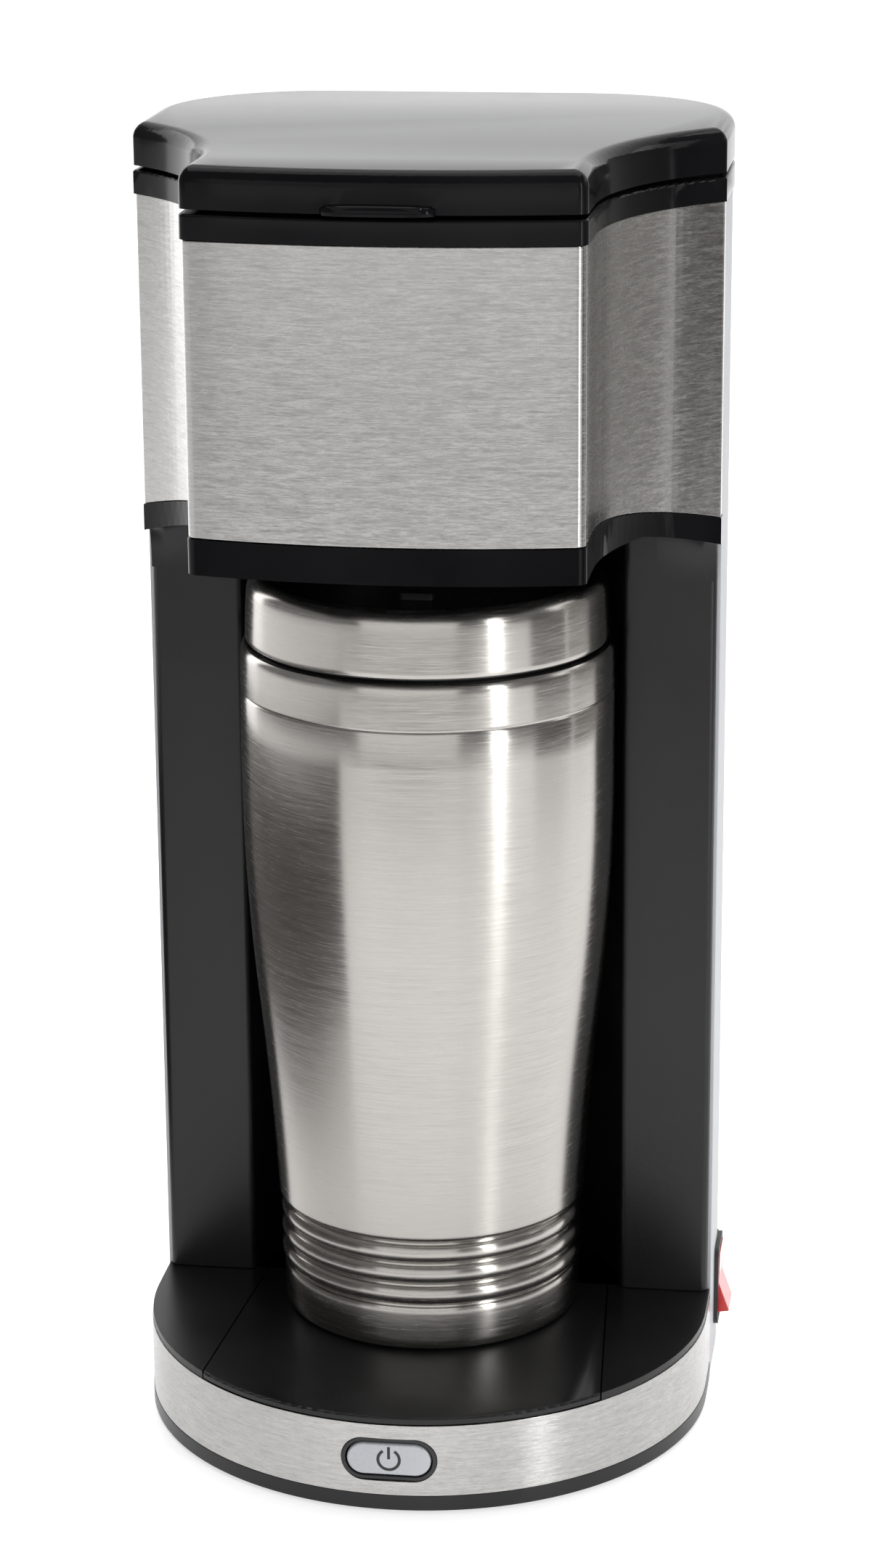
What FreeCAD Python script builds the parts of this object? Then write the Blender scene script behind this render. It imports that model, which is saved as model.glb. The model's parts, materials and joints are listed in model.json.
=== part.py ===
import FreeCAD, Part
import math
import os
import re
import Sketcher

# Single-cup drip coffee maker with its travel mug.
# Frame: Z up, X to the machine's right, front towards -Y.  The origin is on the
# table under the middle of the mug.

# ---------------------------------------------------------------- driving sizes (mm)
# A size that starts with "=" follows others, so that the pieces keep fitting together.

SIZES = {
    # plan of the whole machine
    "half_width": 65.5,         # half of the width over the side walls
    "rear_y": 65.5,             # back wall behind the mug's axis
    "rear_corner": 36.0,        # rounding of the two back corners
    "base_y": -4.0,             # centre of the base's half-round front
    "front_y": -65.5,           # middle of the curved front panel
    "front_bow": 185.0,         # radius of that curve
    "corner_x": 42.0,           # half width of the front panel
    "scoop_y": -46.4,           # where the side starts to sweep outwards
    "wing_end": 5.0,            # where that sweep reaches the flank
    "scoop_bow": "=((half_width - corner_x)^2 + (wing_end - scoop_y)^2) / (2 * (half_width - corner_x))",
    "cover_y": 9.0,             # front edge of the rear cover
    "column_y": 7.0,            # front face of the two columns
    # heights, from the table up
    "foot_lift": 0.8,
    "ring_height": 3.6,
    "band_height": 16.9,
    "lip_height": 1.8,
    "lip_round": 0.5,
    "bay_height": 188.0,        # from the platform to the underside of the head
    "rim_height": 7.7,
    "rim_droop": 6.5,           # how far the rim's outer ends hang below it
    "panel_height": 63.0,
    "collar_height": 5.3,
    "lid_gap": 1.0,
    "lid_front_height": 8.7,
    "lid_rear_height": 10.3,
    # walls and clearances
    "wall": 2.2,
    "panel_sheet": 1.2,
    "band_sheet": 0.8,
    "seam": 0.1,                # between fixed pieces
    "play": 0.35,               # between moving pieces
    "collar_proud": 0.4,
    "lid_proud": 0.3,
    "rim_proud": 0.2,
    "edge_round": 2.5,
    "lid_round": 3.4,           # rounding of the lid's top edge
    "liner_lift": 0.8,          # lid liner above the lid's lower edge
    "liner_sheet": 1.4,
    # drip tray
    "mug_top_r": 42.5,          # the mug's widest radius
    "bay_bow": "=mug_top_r + 2.1",      # radius of the recess round the mug
    "tray_front": 46.6,         # half width at the base's foremost station
    "tray_rear": "=bay_bow - 3.2",      # half width beside the mug's axis
    "tray_sheet": 1.5,
    # rubber feet and bottom screws
    "foot_r": 5.0,
    "foot_seat": 1.0,
    "foot_x": 44.0,
    "foot_front_y": -40.0,
    "foot_rear_y": 48.0,
    "screw_r": 1.5,
    "screw_head_r": 3.0,
    "screw_front_x": 22.0,
    "screw_front_y": -22.0,
    "screw_rear_x": 30.0,
    "screw_rear_y": 46.0,
    # power button in the base's front
    "button_width": 18.9,
    "button_tall": 7.6,
    "bezel_sheet": 0.9,
    "button_sink": 0.3,
    "button_travel": 1.2,
    # rocker switch in the right side
    "rocker_y": 28.0,
    "rocker_z": 18.0,
    "rocker_half_wide": 5.3,
    "rocker_half_tall": 7.5,
    "rocker_deep": 2.7,         # pivot behind the wall's outer face
    "rocker_tilt": 9.0,
    "rocker_frame": 1.2,
    "rocker_pin": 1.0,
    # hinge of the lid
    "hinge_back": 5.2,          # pin's distance from the back wall
    "hinge_pin": 1.5,
    "hinge_eye": 2.8,
    "hinge_half": 22.0,         # half length of the fixed hinge block
    "hinge_ear": 4.0,
    "hinge_play": 0.06,
    "tab_half": 11.2,
    "tab_proud": 2.8,
    "tab_thick": 1.9,
    "tab_end": 4.0,             # rounding of its two ends
    # brewing
    "basket_y": -19.0,
    "well_r": 37.4,
    "well_wall": 1.6,
    "well_flange": 39.2,
    "basket_wall": 1.4,
    "spout_r": 7.0,
    "spout_height": 8.0,        # the funnel's throat above the head's underside
    "funnel_height": 21.0,
    "flange_sheet": 1.5,
    "deck_drop": 7.0,           # deck's top below the collar's top
    "deck_sheet": 2.0,
    # water and heat
    "tank_y": 22.5,
    "tank_wall": 2.0,
    "sump_half": 34.0,
    "sump_z": 110.0,
    "sump_bow": "=bay_bow + 4.8",
    "heater_r": 5.0,
    "heater_bow": 50.0,
    "heater_y": 1.5,
    "heater_z": 10.0,
    "heater_end": 4.0,          # straight end of each arm
    "saddle_half": 4.0,
    "thermostat_r": 6.0,
    "outlet_r": 3.0,
    "outlet_head_r": 5.5,
    "hose_r": 4.0,
    "hose_bore": 2.5,
    "hose_bend": 10.0,
    "gland_x": "=half_width - rear_corner - 11.5",
    "gland_z": 14.0,
    "gland_r": 6.0,
    "gland_bore": 3.6,
    # travel mug, heights from its own foot
    "mug_lift": 0.3,            # foot over the tray
    "mug_foot_r": "=mug_top_r - 7.9",
    "mug_waist_r": "=mug_top_r - 6.6",
    "mug_mid_r": "=mug_top_r - 3.1",
    "mug_waist_z": 26.7,
    "mug_mid_z": 74.0,
    "mug_top_z": 131.0,
    "mug_flare": 1500.0,
    "mug_line_z": 149.4,
    "mug_rim_z": 159.8,
    "mug_sheet": 0.9,
    "mug_gap": 1.2,             # between the mug's two walls
    "lid_seam_z": 160.9,
    "lid_shoulder_z": 172.4,
    "lid_top_z": 175.4,
    "skirt_low_r": "=mug_top_r - 1.3",
    "skirt_high_r": "=mug_top_r - 1.9",
    "skirt_sheet": 0.7,
    "shoulder_r": "=mug_top_r - 4.9",
    "plug_r": "=mug_top_r - 4.3",
    "plug_z": 151.0,
    "dish_r": "=mug_top_r - 8.5",
    "dish_deep": 4.4,
    "sip_y": "=9 - dish_r",
    "sip_half": 5.0,
    "slider_half": 7.0,
    "slider_sheet": 1.4,
}

doc = FreeCAD.newDocument("coffee_maker")
sheet = doc.addObject("Spreadsheet::Sheet", "Spec")
for row, (alias, number) in enumerate(SIZES.items(), 1):
    sheet.set(f"A{row}", alias)
    sheet.set(f"B{row}", str(number))
    sheet.setAlias(f"B{row}", alias)
doc.recompute()

# Heights and places that follow from the driving sizes, as expressions.
RING_TOP = "(foot_lift + ring_height)"
BAND_TOP = f"({RING_TOP} + band_height)"
PLATFORM = f"({BAND_TOP} + lip_height)"
TRAY_LOW = f"({PLATFORM} - tray_sheet)"
POCKET_Z = BAND_TOP
CEILING = f"({POCKET_Z} - wall)"
FLOOR = "(foot_lift + wall)"
HEAD_LOW = f"({PLATFORM} + bay_height)"
RIM_TOP = f"({HEAD_LOW} + rim_height)"
PANEL_TOP = f"({RIM_TOP} + panel_height)"
COLLAR_TOP = f"({PANEL_TOP} + collar_height)"
DECK_TOP = f"({COLLAR_TOP} - deck_drop)"
DECK_LOW = f"({DECK_TOP} - deck_sheet)"
LID_LOW = f"({COLLAR_TOP} + lid_gap)"
LID_FRONT_TOP = f"({LID_LOW} + lid_front_height)"
LID_REAR_TOP = f"({LID_LOW} + lid_rear_height)"
LID_ROOF = f"({LID_FRONT_TOP} - wall)"
HINGE_Y = "(rear_y - hinge_back)"
HINGE_Z = f"({COLLAR_TOP} + hinge_back + lid_proud + play)"
CORE = "(panel_sheet + seam)"               # inset of what stands behind the steel panels
BEHIND = "(wall + 3 * seam)"                # inset of what stands inside the rear cover
BASE_FRONT = "(base_y - half_width)"
TANK_INSET = f"({BEHIND} + wall + seam)"     # the tank's clearance inside the rear cover
OUTLET = ("-24", "52.5")                    # the tank's outlet
HEATER_TIP = "(heater_y + heater_end)"
RISER_Y = f"({HEATER_TIP} + hose_bend)"
BUTTON_Z = f"({RING_TOP} + band_height / 2)"
MUG_FOOT = f"({PLATFORM} + mug_lift)"


def spec(text):
    """An expression with every named size pointed at the sheet."""
    return re.sub(r"\b[a-z][a-z_0-9]*\b", lambda word: "Spec." + word[0] if word[0] in SIZES else word[0],
                  str(text))


def value(text):
    """The number that an expression gives now."""
    result = sheet.evalExpression(spec(text))
    return float(getattr(result, "Value", result))


# ---------------------------------------------------------------- drawing helpers

def origin_plane(body, role):
    return next(plane for plane in body.Origin.OriginFeatures if plane.Role == role)


def flat_sketch(body, role, offset):
    """An empty sketch on one of the body's own planes, moved along its normal."""
    sketch = body.newObject("Sketcher::SketchObject", f"{body.Name}_sketch")
    sketch.AttachmentSupport = [(origin_plane(body, role), "")]
    sketch.MapMode = "FlatFace"
    sketch.setExpression("AttachmentOffset.Base.z", spec(offset))
    return sketch


def bind(sketch, kind, *where, text):
    """A dimension whose value follows the sheet."""
    index = sketch.addConstraint(Sketcher.Constraint(kind, *where, value(text)))
    sketch.setExpression(f"Constraints[{index}]", spec(text))


def arc_between(start, end, radius, side):
    """The short arc from start to end, with its centre on the given side of the way."""
    chord = end - start
    rise = math.sqrt(max(radius ** 2 - chord.Length ** 2 / 4, 0))
    across = FreeCAD.Vector(-chord.y, chord.x, 0).normalize()
    centre = (start + end) * 0.5 + across * (rise if side == "left" else -rise)
    circle = Part.Circle(centre, FreeCAD.Vector(0, 0, 1), radius)
    angles = [math.atan2(point.y - centre.y, point.x - centre.x) for point in (start, end)]
    return Part.ArcOfCircle(circle, *(angles if side == "left" else reversed(angles)))


def draw_circle(sketch, x, y, radius):
    centre = FreeCAD.Vector(value(x), value(y), 0)
    index = sketch.addGeometry(Part.Circle(centre, FreeCAD.Vector(0, 0, 1), value(radius)), False)
    bind(sketch, "DistanceX", -1, 1, index, 3, text=x)
    bind(sketch, "DistanceY", -1, 1, index, 3, text=y)
    bind(sketch, "Radius", index, text=radius)


def draw_loop(sketch, steps):
    """A closed outline.  A step is (x, y) for a line to that point, or
    (x, y, radius, side) for an arc to it whose centre lies left or right of the way."""
    points = [FreeCAD.Vector(value(step[0]), value(step[1]), 0) for step in steps]
    pieces = []
    ends = []
    for number, step in enumerate(steps):
        start = points[number - 1]
        end = points[number]
        if len(step) == 2:
            pieces.append(sketch.addGeometry(Part.LineSegment(start, end), False))
            ends.append((1, 2))
        else:
            arc = arc_between(start, end, value(step[2]), step[3])
            pieces.append(sketch.addGeometry(arc, False))
            ends.append((1, 2) if step[3] == "left" else (2, 1))
    for number, step in enumerate(steps):
        after = (number + 1) % len(steps)
        sketch.addConstraint(Sketcher.Constraint(
            "Coincident", pieces[number], ends[number][1], pieces[after], ends[after][0]))
        bind(sketch, "DistanceX", -1, 1, pieces[number], ends[number][1], text=step[0])
        bind(sketch, "DistanceY", -1, 1, pieces[number], ends[number][1], text=step[1])
        if len(step) > 2:
            bind(sketch, "Radius", pieces[number], text=step[2])


def draw(sketch, loops):
    for loop in loops:
        if isinstance(loop, tuple):
            draw_circle(sketch, *loop)
        else:
            draw_loop(sketch, loop)


# How a pad or a pocket runs along each axis: its plane, the end its sketch lies at,
# and the sign of the plane's normal.
PAD_PLANES = {"z": ("XY_Plane", "low", ""), "y": ("XZ_Plane", "high", "-"), "x": ("YZ_Plane", "low", "")}
CUT_PLANES = {"z": ("XY_Plane", "high", ""), "y": ("XZ_Plane", "low", "-"), "x": ("YZ_Plane", "high", "")}


def run(body, kind, planes, axis, loops, low, high):
    role, end, sign = planes[axis]
    sketch = flat_sketch(body, role, f"{sign}({low if end == 'low' else high})")
    draw(sketch, loops)
    feature = body.newObject(kind, f"{body.Name}_{kind.split('::')[1].lower()}")
    feature.Profile = sketch
    feature.setExpression("Length", spec(f"({high}) - ({low})"))
    return feature


def pad(body, loops, low, high, axis="z"):
    """Adds material between two stations of an axis."""
    feature = run(body, "PartDesign::Pad", PAD_PLANES, axis, loops, low, high)
    doc.recompute()
    return feature


def pocket(body, loops, low, high, axis="z"):
    """Removes material between two stations of an axis."""
    before = body.Shape.Volume
    feature = run(body, "PartDesign::Pocket", CUT_PLANES, axis, loops, low, high)
    doc.recompute()
    if body.Shape.Volume > before - 1e-3:
        raise RuntimeError(f"{feature.Name} removes nothing")
    return feature


def new_body(name):
    return doc.addObject("PartDesign::Body", name)


def slab(name, loops, low, high, axis="z"):
    body = new_body(name)
    pad(body, loops, low, high, axis)
    return body


def turned(name, steps, x="0", y="0"):
    """A body of revolution about the vertical line through (x, y); steps are (radius, z)."""
    body = new_body(name)
    sketch = flat_sketch(body, "XZ_Plane", "0")
    draw_loop(sketch, steps)
    feature = body.newObject("PartDesign::Revolution", f"{name}_turn")
    feature.Profile = sketch
    feature.ReferenceAxis = (sketch, ["V_Axis"])
    feature.Angle = 360
    body.setExpression("Placement.Base.x", spec(x))
    body.setExpression("Placement.Base.y", spec(y))
    doc.recompute()
    return body


def soften(body, radius, chosen):
    """Rounds the edges of the body's last feature for which chosen(edge) is true."""
    feature = body.Tip
    names = [f"Edge{index}" for index, edge in enumerate(feature.Shape.Edges, 1) if chosen(edge)]
    if not names:
        raise RuntimeError(f"{body.Name} has no edge to round")
    fillet = body.newObject("PartDesign::Fillet", f"{body.Name}_round")
    fillet.Base = (feature, names)
    fillet.setExpression("Radius", spec(radius))
    doc.recompute()
    return fillet


def upright_at(*places):
    """Chooses the upright edges that stand at the given (x, y) expressions, left and right."""
    spots = [(value(x), value(y)) for x, y in places]

    def chosen(edge):
        box = edge.BoundBox
        if box.XLength > 1e-3 or box.YLength > 1e-3:
            return False
        return any(abs(abs(box.XMin) - x) < 1e-3 and abs(box.YMin - y) < 1e-3 for x, y in spots)
    return chosen


def level_at(height, near=0.02):
    """Chooses the edges that lie flat at a height."""
    level = value(height)
    return lambda edge: abs(edge.BoundBox.ZMin - level) < near and abs(edge.BoundBox.ZMax - level) < near


def box(name, x_low, x_high, y_low, y_high, z_low, z_high):
    block = doc.addObject("Part::Box", name)
    for size, low, high in (("Length", x_low, x_high), ("Width", y_low, y_high), ("Height", z_low, z_high)):
        block.setExpression(size, spec(f"({high}) - ({low})"))
    for axis, low in (("x", x_low), ("y", y_low), ("z", z_low)):
        block.setExpression(f"Placement.Base.{axis}", spec(low))
    return block


TURNS = {
    "z": FreeCAD.Rotation(),
    "x": FreeCAD.Rotation(FreeCAD.Vector(0, 1, 0), 90),
    "y": FreeCAD.Rotation(FreeCAD.Vector(1, 0, 0), -90),
}


def rod(name, radius, start, length, axis="z"):
    """A cylinder that starts at a point and runs along an axis."""
    cylinder = doc.addObject("Part::Cylinder", name)
    cylinder.setExpression("Radius", spec(radius))
    cylinder.setExpression("Height", spec(length))
    cylinder.Placement = FreeCAD.Placement(FreeCAD.Vector(), TURNS[axis])
    for letter, place in zip("xyz", start):
        cylinder.setExpression(f"Placement.Base.{letter}", spec(place))
    return cylinder


def fuse(name, *shapes):
    union = doc.addObject("Part::MultiFuse", name)
    union.Shapes = list(shapes)
    return union


def common(name, base, tool):
    shared = doc.addObject("Part::Common", name)
    shared.Base = base
    shared.Tool = tool
    return shared


def cut(name, base, tool):
    rest = doc.addObject("Part::Cut", name)
    rest.Base = base
    rest.Tool = tool
    return rest


def group(name, members):
    """Identical pieces that stay separate solids of one node."""
    compound = doc.addObject("Part::Compound", name)
    compound.Links = members
    return compound


def hose(name, points, radius, bore, bend):
    """A tube along straight runs joined by tangent arcs."""
    corners = [FreeCAD.Vector(*(value(number) for number in point)) for point in points]
    reach = value(bend)
    edges = []
    start = corners[0]
    for before, corner, after in zip(corners, corners[1:], corners[2:]):
        back = (before - corner).normalize()
        ahead = (after - corner).normalize()
        half = back.getAngle(ahead) / 2
        setback = min(reach / math.tan(half), (corner - before).Length * 0.45, (after - corner).Length * 0.45)
        first = corner + back * setback
        last = corner + ahead * setback
        centre = corner + (back + ahead).normalize() * (setback / math.cos(half))
        middle = centre + (corner - centre).normalize() * (setback * math.tan(half))
        edges.append(Part.LineSegment(start, first).toShape())
        edges.append(Part.Arc(first, middle, last).toShape())
        start = last
    edges.append(Part.LineSegment(start, corners[-1]).toShape())
    path = Part.Wire(edges)
    along = corners[1] - corners[0]

    def tube(size):
        ring = Part.Wire(Part.makeCircle(size, corners[0], along))
        return path.makePipeShell([ring], True, True)
    shape = tube(value(radius))
    if bore is not None:
        shape = shape.cut(tube(value(bore)))
    piece = doc.addObject("Part::Feature", name)
    piece.Shape = shape
    return piece


NODES = []


def node(name, piece):
    """Registers a finished piece under the name of its file."""
    piece.Label = name
    NODES.append((name, piece))


def mirrored(steps):
    """The same outline on the other side of the machine."""
    flip = {"left": "right", "right": "left"}
    return [(f"-({step[0]})", step[1]) + ((step[2], flip[step[3]]) if len(step) > 2 else ()) for step in steps]


# ---------------------------------------------------------------- shared outlines

def bow_y(inset):
    """Where the curved front meets the side, at an inset."""
    return f"front_y + front_bow - sqrt((front_bow - {inset}) ^ 2 - (corner_x - {inset}) ^ 2)"


def wing_y(inset):
    """Where the swept side meets the straight flank, at an inset."""
    return (f"scoop_y + sqrt((scoop_bow + {inset}) ^ 2"
            f" - (corner_x + scoop_bow - half_width + {inset}) ^ 2)")


def back_right(inset):
    """From the right flank round the back corner, at an inset."""
    return [(f"half_width - {inset}", "rear_y - rear_corner"),
            ("half_width - rear_corner", f"rear_y - {inset}", f"rear_corner - {inset}", "left")]


def back_left(inset):
    return [("-(half_width - rear_corner)", f"rear_y - {inset}"),
            (f"-(half_width - {inset})", "rear_y - rear_corner", f"rear_corner - {inset}", "left")]


def front_right(inset):
    """From the middle of the curved front to the wing, at an inset."""
    return [(f"corner_x - {inset}", bow_y(inset), f"front_bow - {inset}", "left"),
            (f"corner_x - {inset}", "scoop_y"),
            (f"half_width - {inset}", wing_y(inset), f"scoop_bow + {inset}", "right")]


def front_left(inset):
    return [(f"-(half_width - {inset})", wing_y(inset)),
            (f"-(corner_x - {inset})", "scoop_y", f"scoop_bow + {inset}", "right"),
            (f"-(corner_x - {inset})", bow_y(inset)),
            ("0", f"front_y + {inset}", f"front_bow - {inset}", "left")]


def head_plan(inset):
    """The head's whole outline, moved inwards by an inset."""
    return front_right(inset) + back_right(inset) + back_left(inset) + front_left(inset)


def head_core(front, rear):
    """The head's outline with one inset at the front and another inside the rear cover."""
    ledge = "cover_y - seam"
    return (front_right(front) + [(f"half_width - {front}", ledge), (f"half_width - {rear}", ledge)]
            + back_right(rear) + back_left(rear)
            + [(f"-(half_width - {rear})", ledge), (f"-(half_width - {front})", ledge)] + front_left(front))


def base_core(front, rear):
    """The base's outline: a half round front, and a back that stands inside the rear cover."""
    radius = f"half_width - {front}"
    ledge = "cover_y - seam"
    return ([(radius, "base_y", radius, "left"), (radius, ledge), (f"half_width - {rear}", ledge)]
            + back_right(rear) + back_left(rear)
            + [(f"-(half_width - {rear})", ledge), (f"-({radius})", ledge), (f"-({radius})", "base_y"),
               ("0", f"base_y - ({radius})", radius, "left")])


def pill(x, y, wide, tall):
    """A level bar with round ends."""
    half = f"(({wide}) / 2)"
    radius = f"(({tall}) / 2)"
    return [(f"{x} + {half} - {radius}", f"{y} - {radius}"),
            (f"{x} + {half}", y, radius, "left"),
            (f"{x} + {half} - {radius}", f"{y} + {radius}", radius, "left"),
            (f"{x} - {half} + {radius}", f"{y} + {radius}"),
            (f"{x} - {half}", y, radius, "left"),
            (f"{x} - {half} + {radius}", f"{y} - {radius}", radius, "left")]


def rectangle(x_low, x_high, y_low, y_high):
    return [(x_low, y_low), (x_high, y_low), (x_high, y_high), (x_low, y_high)]


def rounded(x_low, x_high, y_low, y_high, radius):
    """A rectangle with round corners."""
    return [(f"{x_high} - {radius}", y_low), (x_high, f"{y_low} + {radius}", radius, "left"),
            (x_high, f"{y_high} - {radius}"), (f"{x_high} - {radius}", y_high, radius, "left"),
            (f"{x_low} + {radius}", y_high), (x_low, f"{y_high} - {radius}", radius, "left"),
            (x_low, f"{y_low} + {radius}"), (f"{x_low} + {radius}", y_low, radius, "left")]


FEET = [("-foot_x", "foot_front_y"), ("foot_x", "foot_front_y"),
        ("-foot_x", "foot_rear_y"), ("foot_x", "foot_rear_y")]
SCREWS = [("-screw_front_x", "screw_front_y"), ("screw_front_x", "screw_front_y"),
          ("-screw_rear_x", "screw_rear_y"), ("screw_rear_x", "screw_rear_y")]
BUTTON_HOLE = pill("0", BUTTON_Z, "button_width + 2 * play + 2 * bezel_sheet + 2 * seam",
                   "button_tall + 2 * play + 2 * bezel_sheet + 2 * seam")


# ---------------------------------------------------------------- base

def bottom_cover():
    """The closing plate, whose rim is the black ring under the steel band."""
    body = slab("bottom_cover", [base_core("(-seam)", BEHIND)], "foot_lift", RING_TOP)
    pocket(body, [base_core("wall", f"({BEHIND} + wall)")], FLOOR, RING_TOP)
    pocket(body, [(x, y, "foot_r + seam") for x, y in FEET], "foot_lift", "foot_lift + foot_seat")
    pocket(body, [(x, y, "screw_r + 2 * seam") for x, y in SCREWS], "foot_lift", FLOOR)
    pocket(body, [(x, y, "screw_head_r + 2 * seam") for x, y in SCREWS], "foot_lift",
           "foot_lift + wall / 2")
    node("bottom_cover", body)


def rubber_feet():
    feet = [rod(f"foot_{index}", "foot_r", (x, y, "0"), "foot_lift + foot_seat")
            for index, (x, y) in enumerate(FEET)]
    node("rubber_feet", group("rubber_feet", feet))


def bottom_screws():
    low = "foot_lift + wall / 2"
    screws = []
    for index, (x, y) in enumerate(SCREWS):
        head = rod(f"screw_head_{index}", "screw_head_r", (x, y, "foot_lift + seam"), "wall / 2 - seam")
        shank = rod(f"screw_shank_{index}", "screw_r", (x, y, low), "10")
        screws.append(fuse(f"screw_{index}", head, shank))
    node("bottom_screws", group("bottom_screws", screws))


def tray_plan(spread):
    """The tray's outline: sides that narrow to the back and a half round end, spread by a clearance."""
    front = f"(tray_front + {spread})"
    rear = f"(tray_rear + {spread})"
    edge = f"{BASE_FRONT} - 1"
    return [(front, edge), (rear, "0"), ("0", rear, rear, "left"), (f"-{rear}", "0", rear, "left"),
            (f"-{front}", edge)]


def base_shell():
    """The platform, with the tray's pocket, the walls under it and the screw bosses."""
    inner = "(band_sheet + seam)"
    body = slab("base_shell", [base_core("(2 * seam)", BEHIND)], BAND_TOP, PLATFORM)
    pad(body, [base_core(inner, BEHIND)], RING_TOP, BAND_TOP)
    pocket(body, [base_core(f"({inner} + wall)", f"({BEHIND} + wall)")], RING_TOP, CEILING)
    pad(body, [(x, y, "screw_head_r + 0.6") for x, y in SCREWS], FLOOR, CEILING)
    pocket(body, [(x, y, "screw_r") for x, y in SCREWS], FLOOR, "foot_lift + wall / 2 + 10.2")
    pocket(body, [tray_plan("play")], POCKET_Z, PLATFORM)
    pocket(body, [BUTTON_HOLE], BASE_FRONT, f"{BASE_FRONT} + 8", axis="y")
    hose_way = rectangle("heater_bow - hose_r - 2", "heater_bow + hose_r + 2", "cover_y + 2", "cover_y + 15")
    pocket(body, [hose_way, mirrored(hose_way)], CEILING, PLATFORM)
    switch_way = rectangle("rocker_y - rocker_half_wide - 2.5", "rocker_y + rocker_half_wide + 2.5",
                           "rocker_z - rocker_half_tall - 3.5", f"{PLATFORM} + 1")
    pocket(body, [switch_way], "half_width - 22", "half_width", axis="x")
    gland_way = [("gland_x", "gland_z", "gland_r + 2")]
    pocket(body, gland_way, f"rear_y - {BEHIND} - wall - 1", "rear_y", axis="y")
    node("base_shell", body)


def base_band():
    """The brushed steel band round the base's front."""
    radius = "half_width"
    inner = "(half_width - band_sheet)"
    end = "cover_y - 2 * seam"
    loop = [(radius, "base_y", radius, "left"), (radius, end), (inner, end), (inner, "base_y"),
            ("0", f"base_y - {inner}", inner, "right"), (f"-{inner}", "base_y", inner, "right"),
            (f"-{inner}", end), (f"-{radius}", end), (f"-{radius}", "base_y"),
            ("0", f"base_y - {radius}", radius, "left")]
    body = slab("base_band", [loop], RING_TOP, BAND_TOP)
    pocket(body, [BUTTON_HOLE], BASE_FRONT, f"{BASE_FRONT} + 8", axis="y")
    node("base_band", body)


def drip_tray():
    """The plate under the mug, whose front edge follows the base's."""
    disc = slab("tray_disc", [("0", "base_y", "half_width - 2 * seam")], TRAY_LOW, PLATFORM)
    soften(disc, "lip_round", level_at(PLATFORM))
    wedge = slab("tray_wedge", [tray_plan("0")], TRAY_LOW, PLATFORM)
    node("drip_tray", common("drip_tray", wedge, disc))


def power_button():
    face = f"{BASE_FRONT} + button_sink"
    stem = f"{face} + 3"
    body = slab("power_button", [pill("0", BUTTON_Z, "button_width", "button_tall")], face, stem, axis="y")
    front_edges = value(face)
    soften(body, "0.6", lambda edge: abs(edge.BoundBox.YMax - front_edges) < 0.01)
    pad(body, [("0", BUTTON_Z, "2")], f"{stem} - 0.5", f"{stem} + 4", axis="y")
    node("power_button", body)
    inner = pill("0", BUTTON_Z, "button_width + 2 * play", "button_tall + 2 * play")
    outer = pill("0", BUTTON_Z, "button_width + 2 * play + 2 * bezel_sheet",
                 "button_tall + 2 * play + 2 * bezel_sheet")
    bezel = slab("button_bezel", [outer, inner], f"{BASE_FRONT} + 0.5", f"{BASE_FRONT} + 6", axis="y")
    node("button_bezel", bezel)
    tip = f"{stem} + 4 + button_travel + play"
    case = slab("button_switch", [rectangle("-3.5", "3.5", f"{BUTTON_Z} - 3.5", f"{BUTTON_Z} + 3.5")],
                f"{tip} + 1", f"{tip} + 4", axis="y")
    pad(case, [("0", BUTTON_Z, "1.6")], tip, f"{tip} + 1.5", axis="y")
    node("button_switch", case)
    board = slab("control_board", [rectangle("-18", "18", FLOOR, f"{CEILING} - 0.5")],
                 f"{tip} + 4", f"{tip} + 5.6", axis="y")
    node("control_board", board)


# ---------------------------------------------------------------- tower

def tower_front():
    """The two columns and the round recess between them, in one moulding."""
    outer = "half_width - 0.8"
    ledge = "cover_y - seam"
    side = f"half_width - {BEHIND}"
    thin = f"{side} - wall"
    back = "(bay_bow + wall)"
    front_x = "sqrt(bay_bow ^ 2 - column_y ^ 2)"
    rear_face = "column_y + wall"
    rear_x = f"sqrt({back} ^ 2 - ({rear_face}) ^ 2)"
    right = [(front_x, "column_y"), (outer, "column_y"), (outer, ledge), (side, ledge), (side, "cover_y + 11"),
             (thin, "cover_y + 11"), (thin, rear_face), (rear_x, rear_face),
             ("0", back, back, "left")]
    left = [(f"-{rear_x}", rear_face, back, "left"), (f"-({thin})", rear_face), (f"-({thin})", "cover_y + 11"),
            (f"-({side})", "cover_y + 11"), (f"-({side})", ledge), (f"-({outer})", ledge),
            (f"-({outer})", "column_y"), (f"-{front_x}", "column_y"), ("0", "bay_bow", "bay_bow", "right")]
    right[0] = (front_x, "column_y", "bay_bow", "right")
    body = slab("tower_front", [right + left], PLATFORM, HEAD_LOW)
    soften(body, "1.6", upright_at((outer, "column_y"), (front_x, "column_y")))
    node("tower_front", body)


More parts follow.
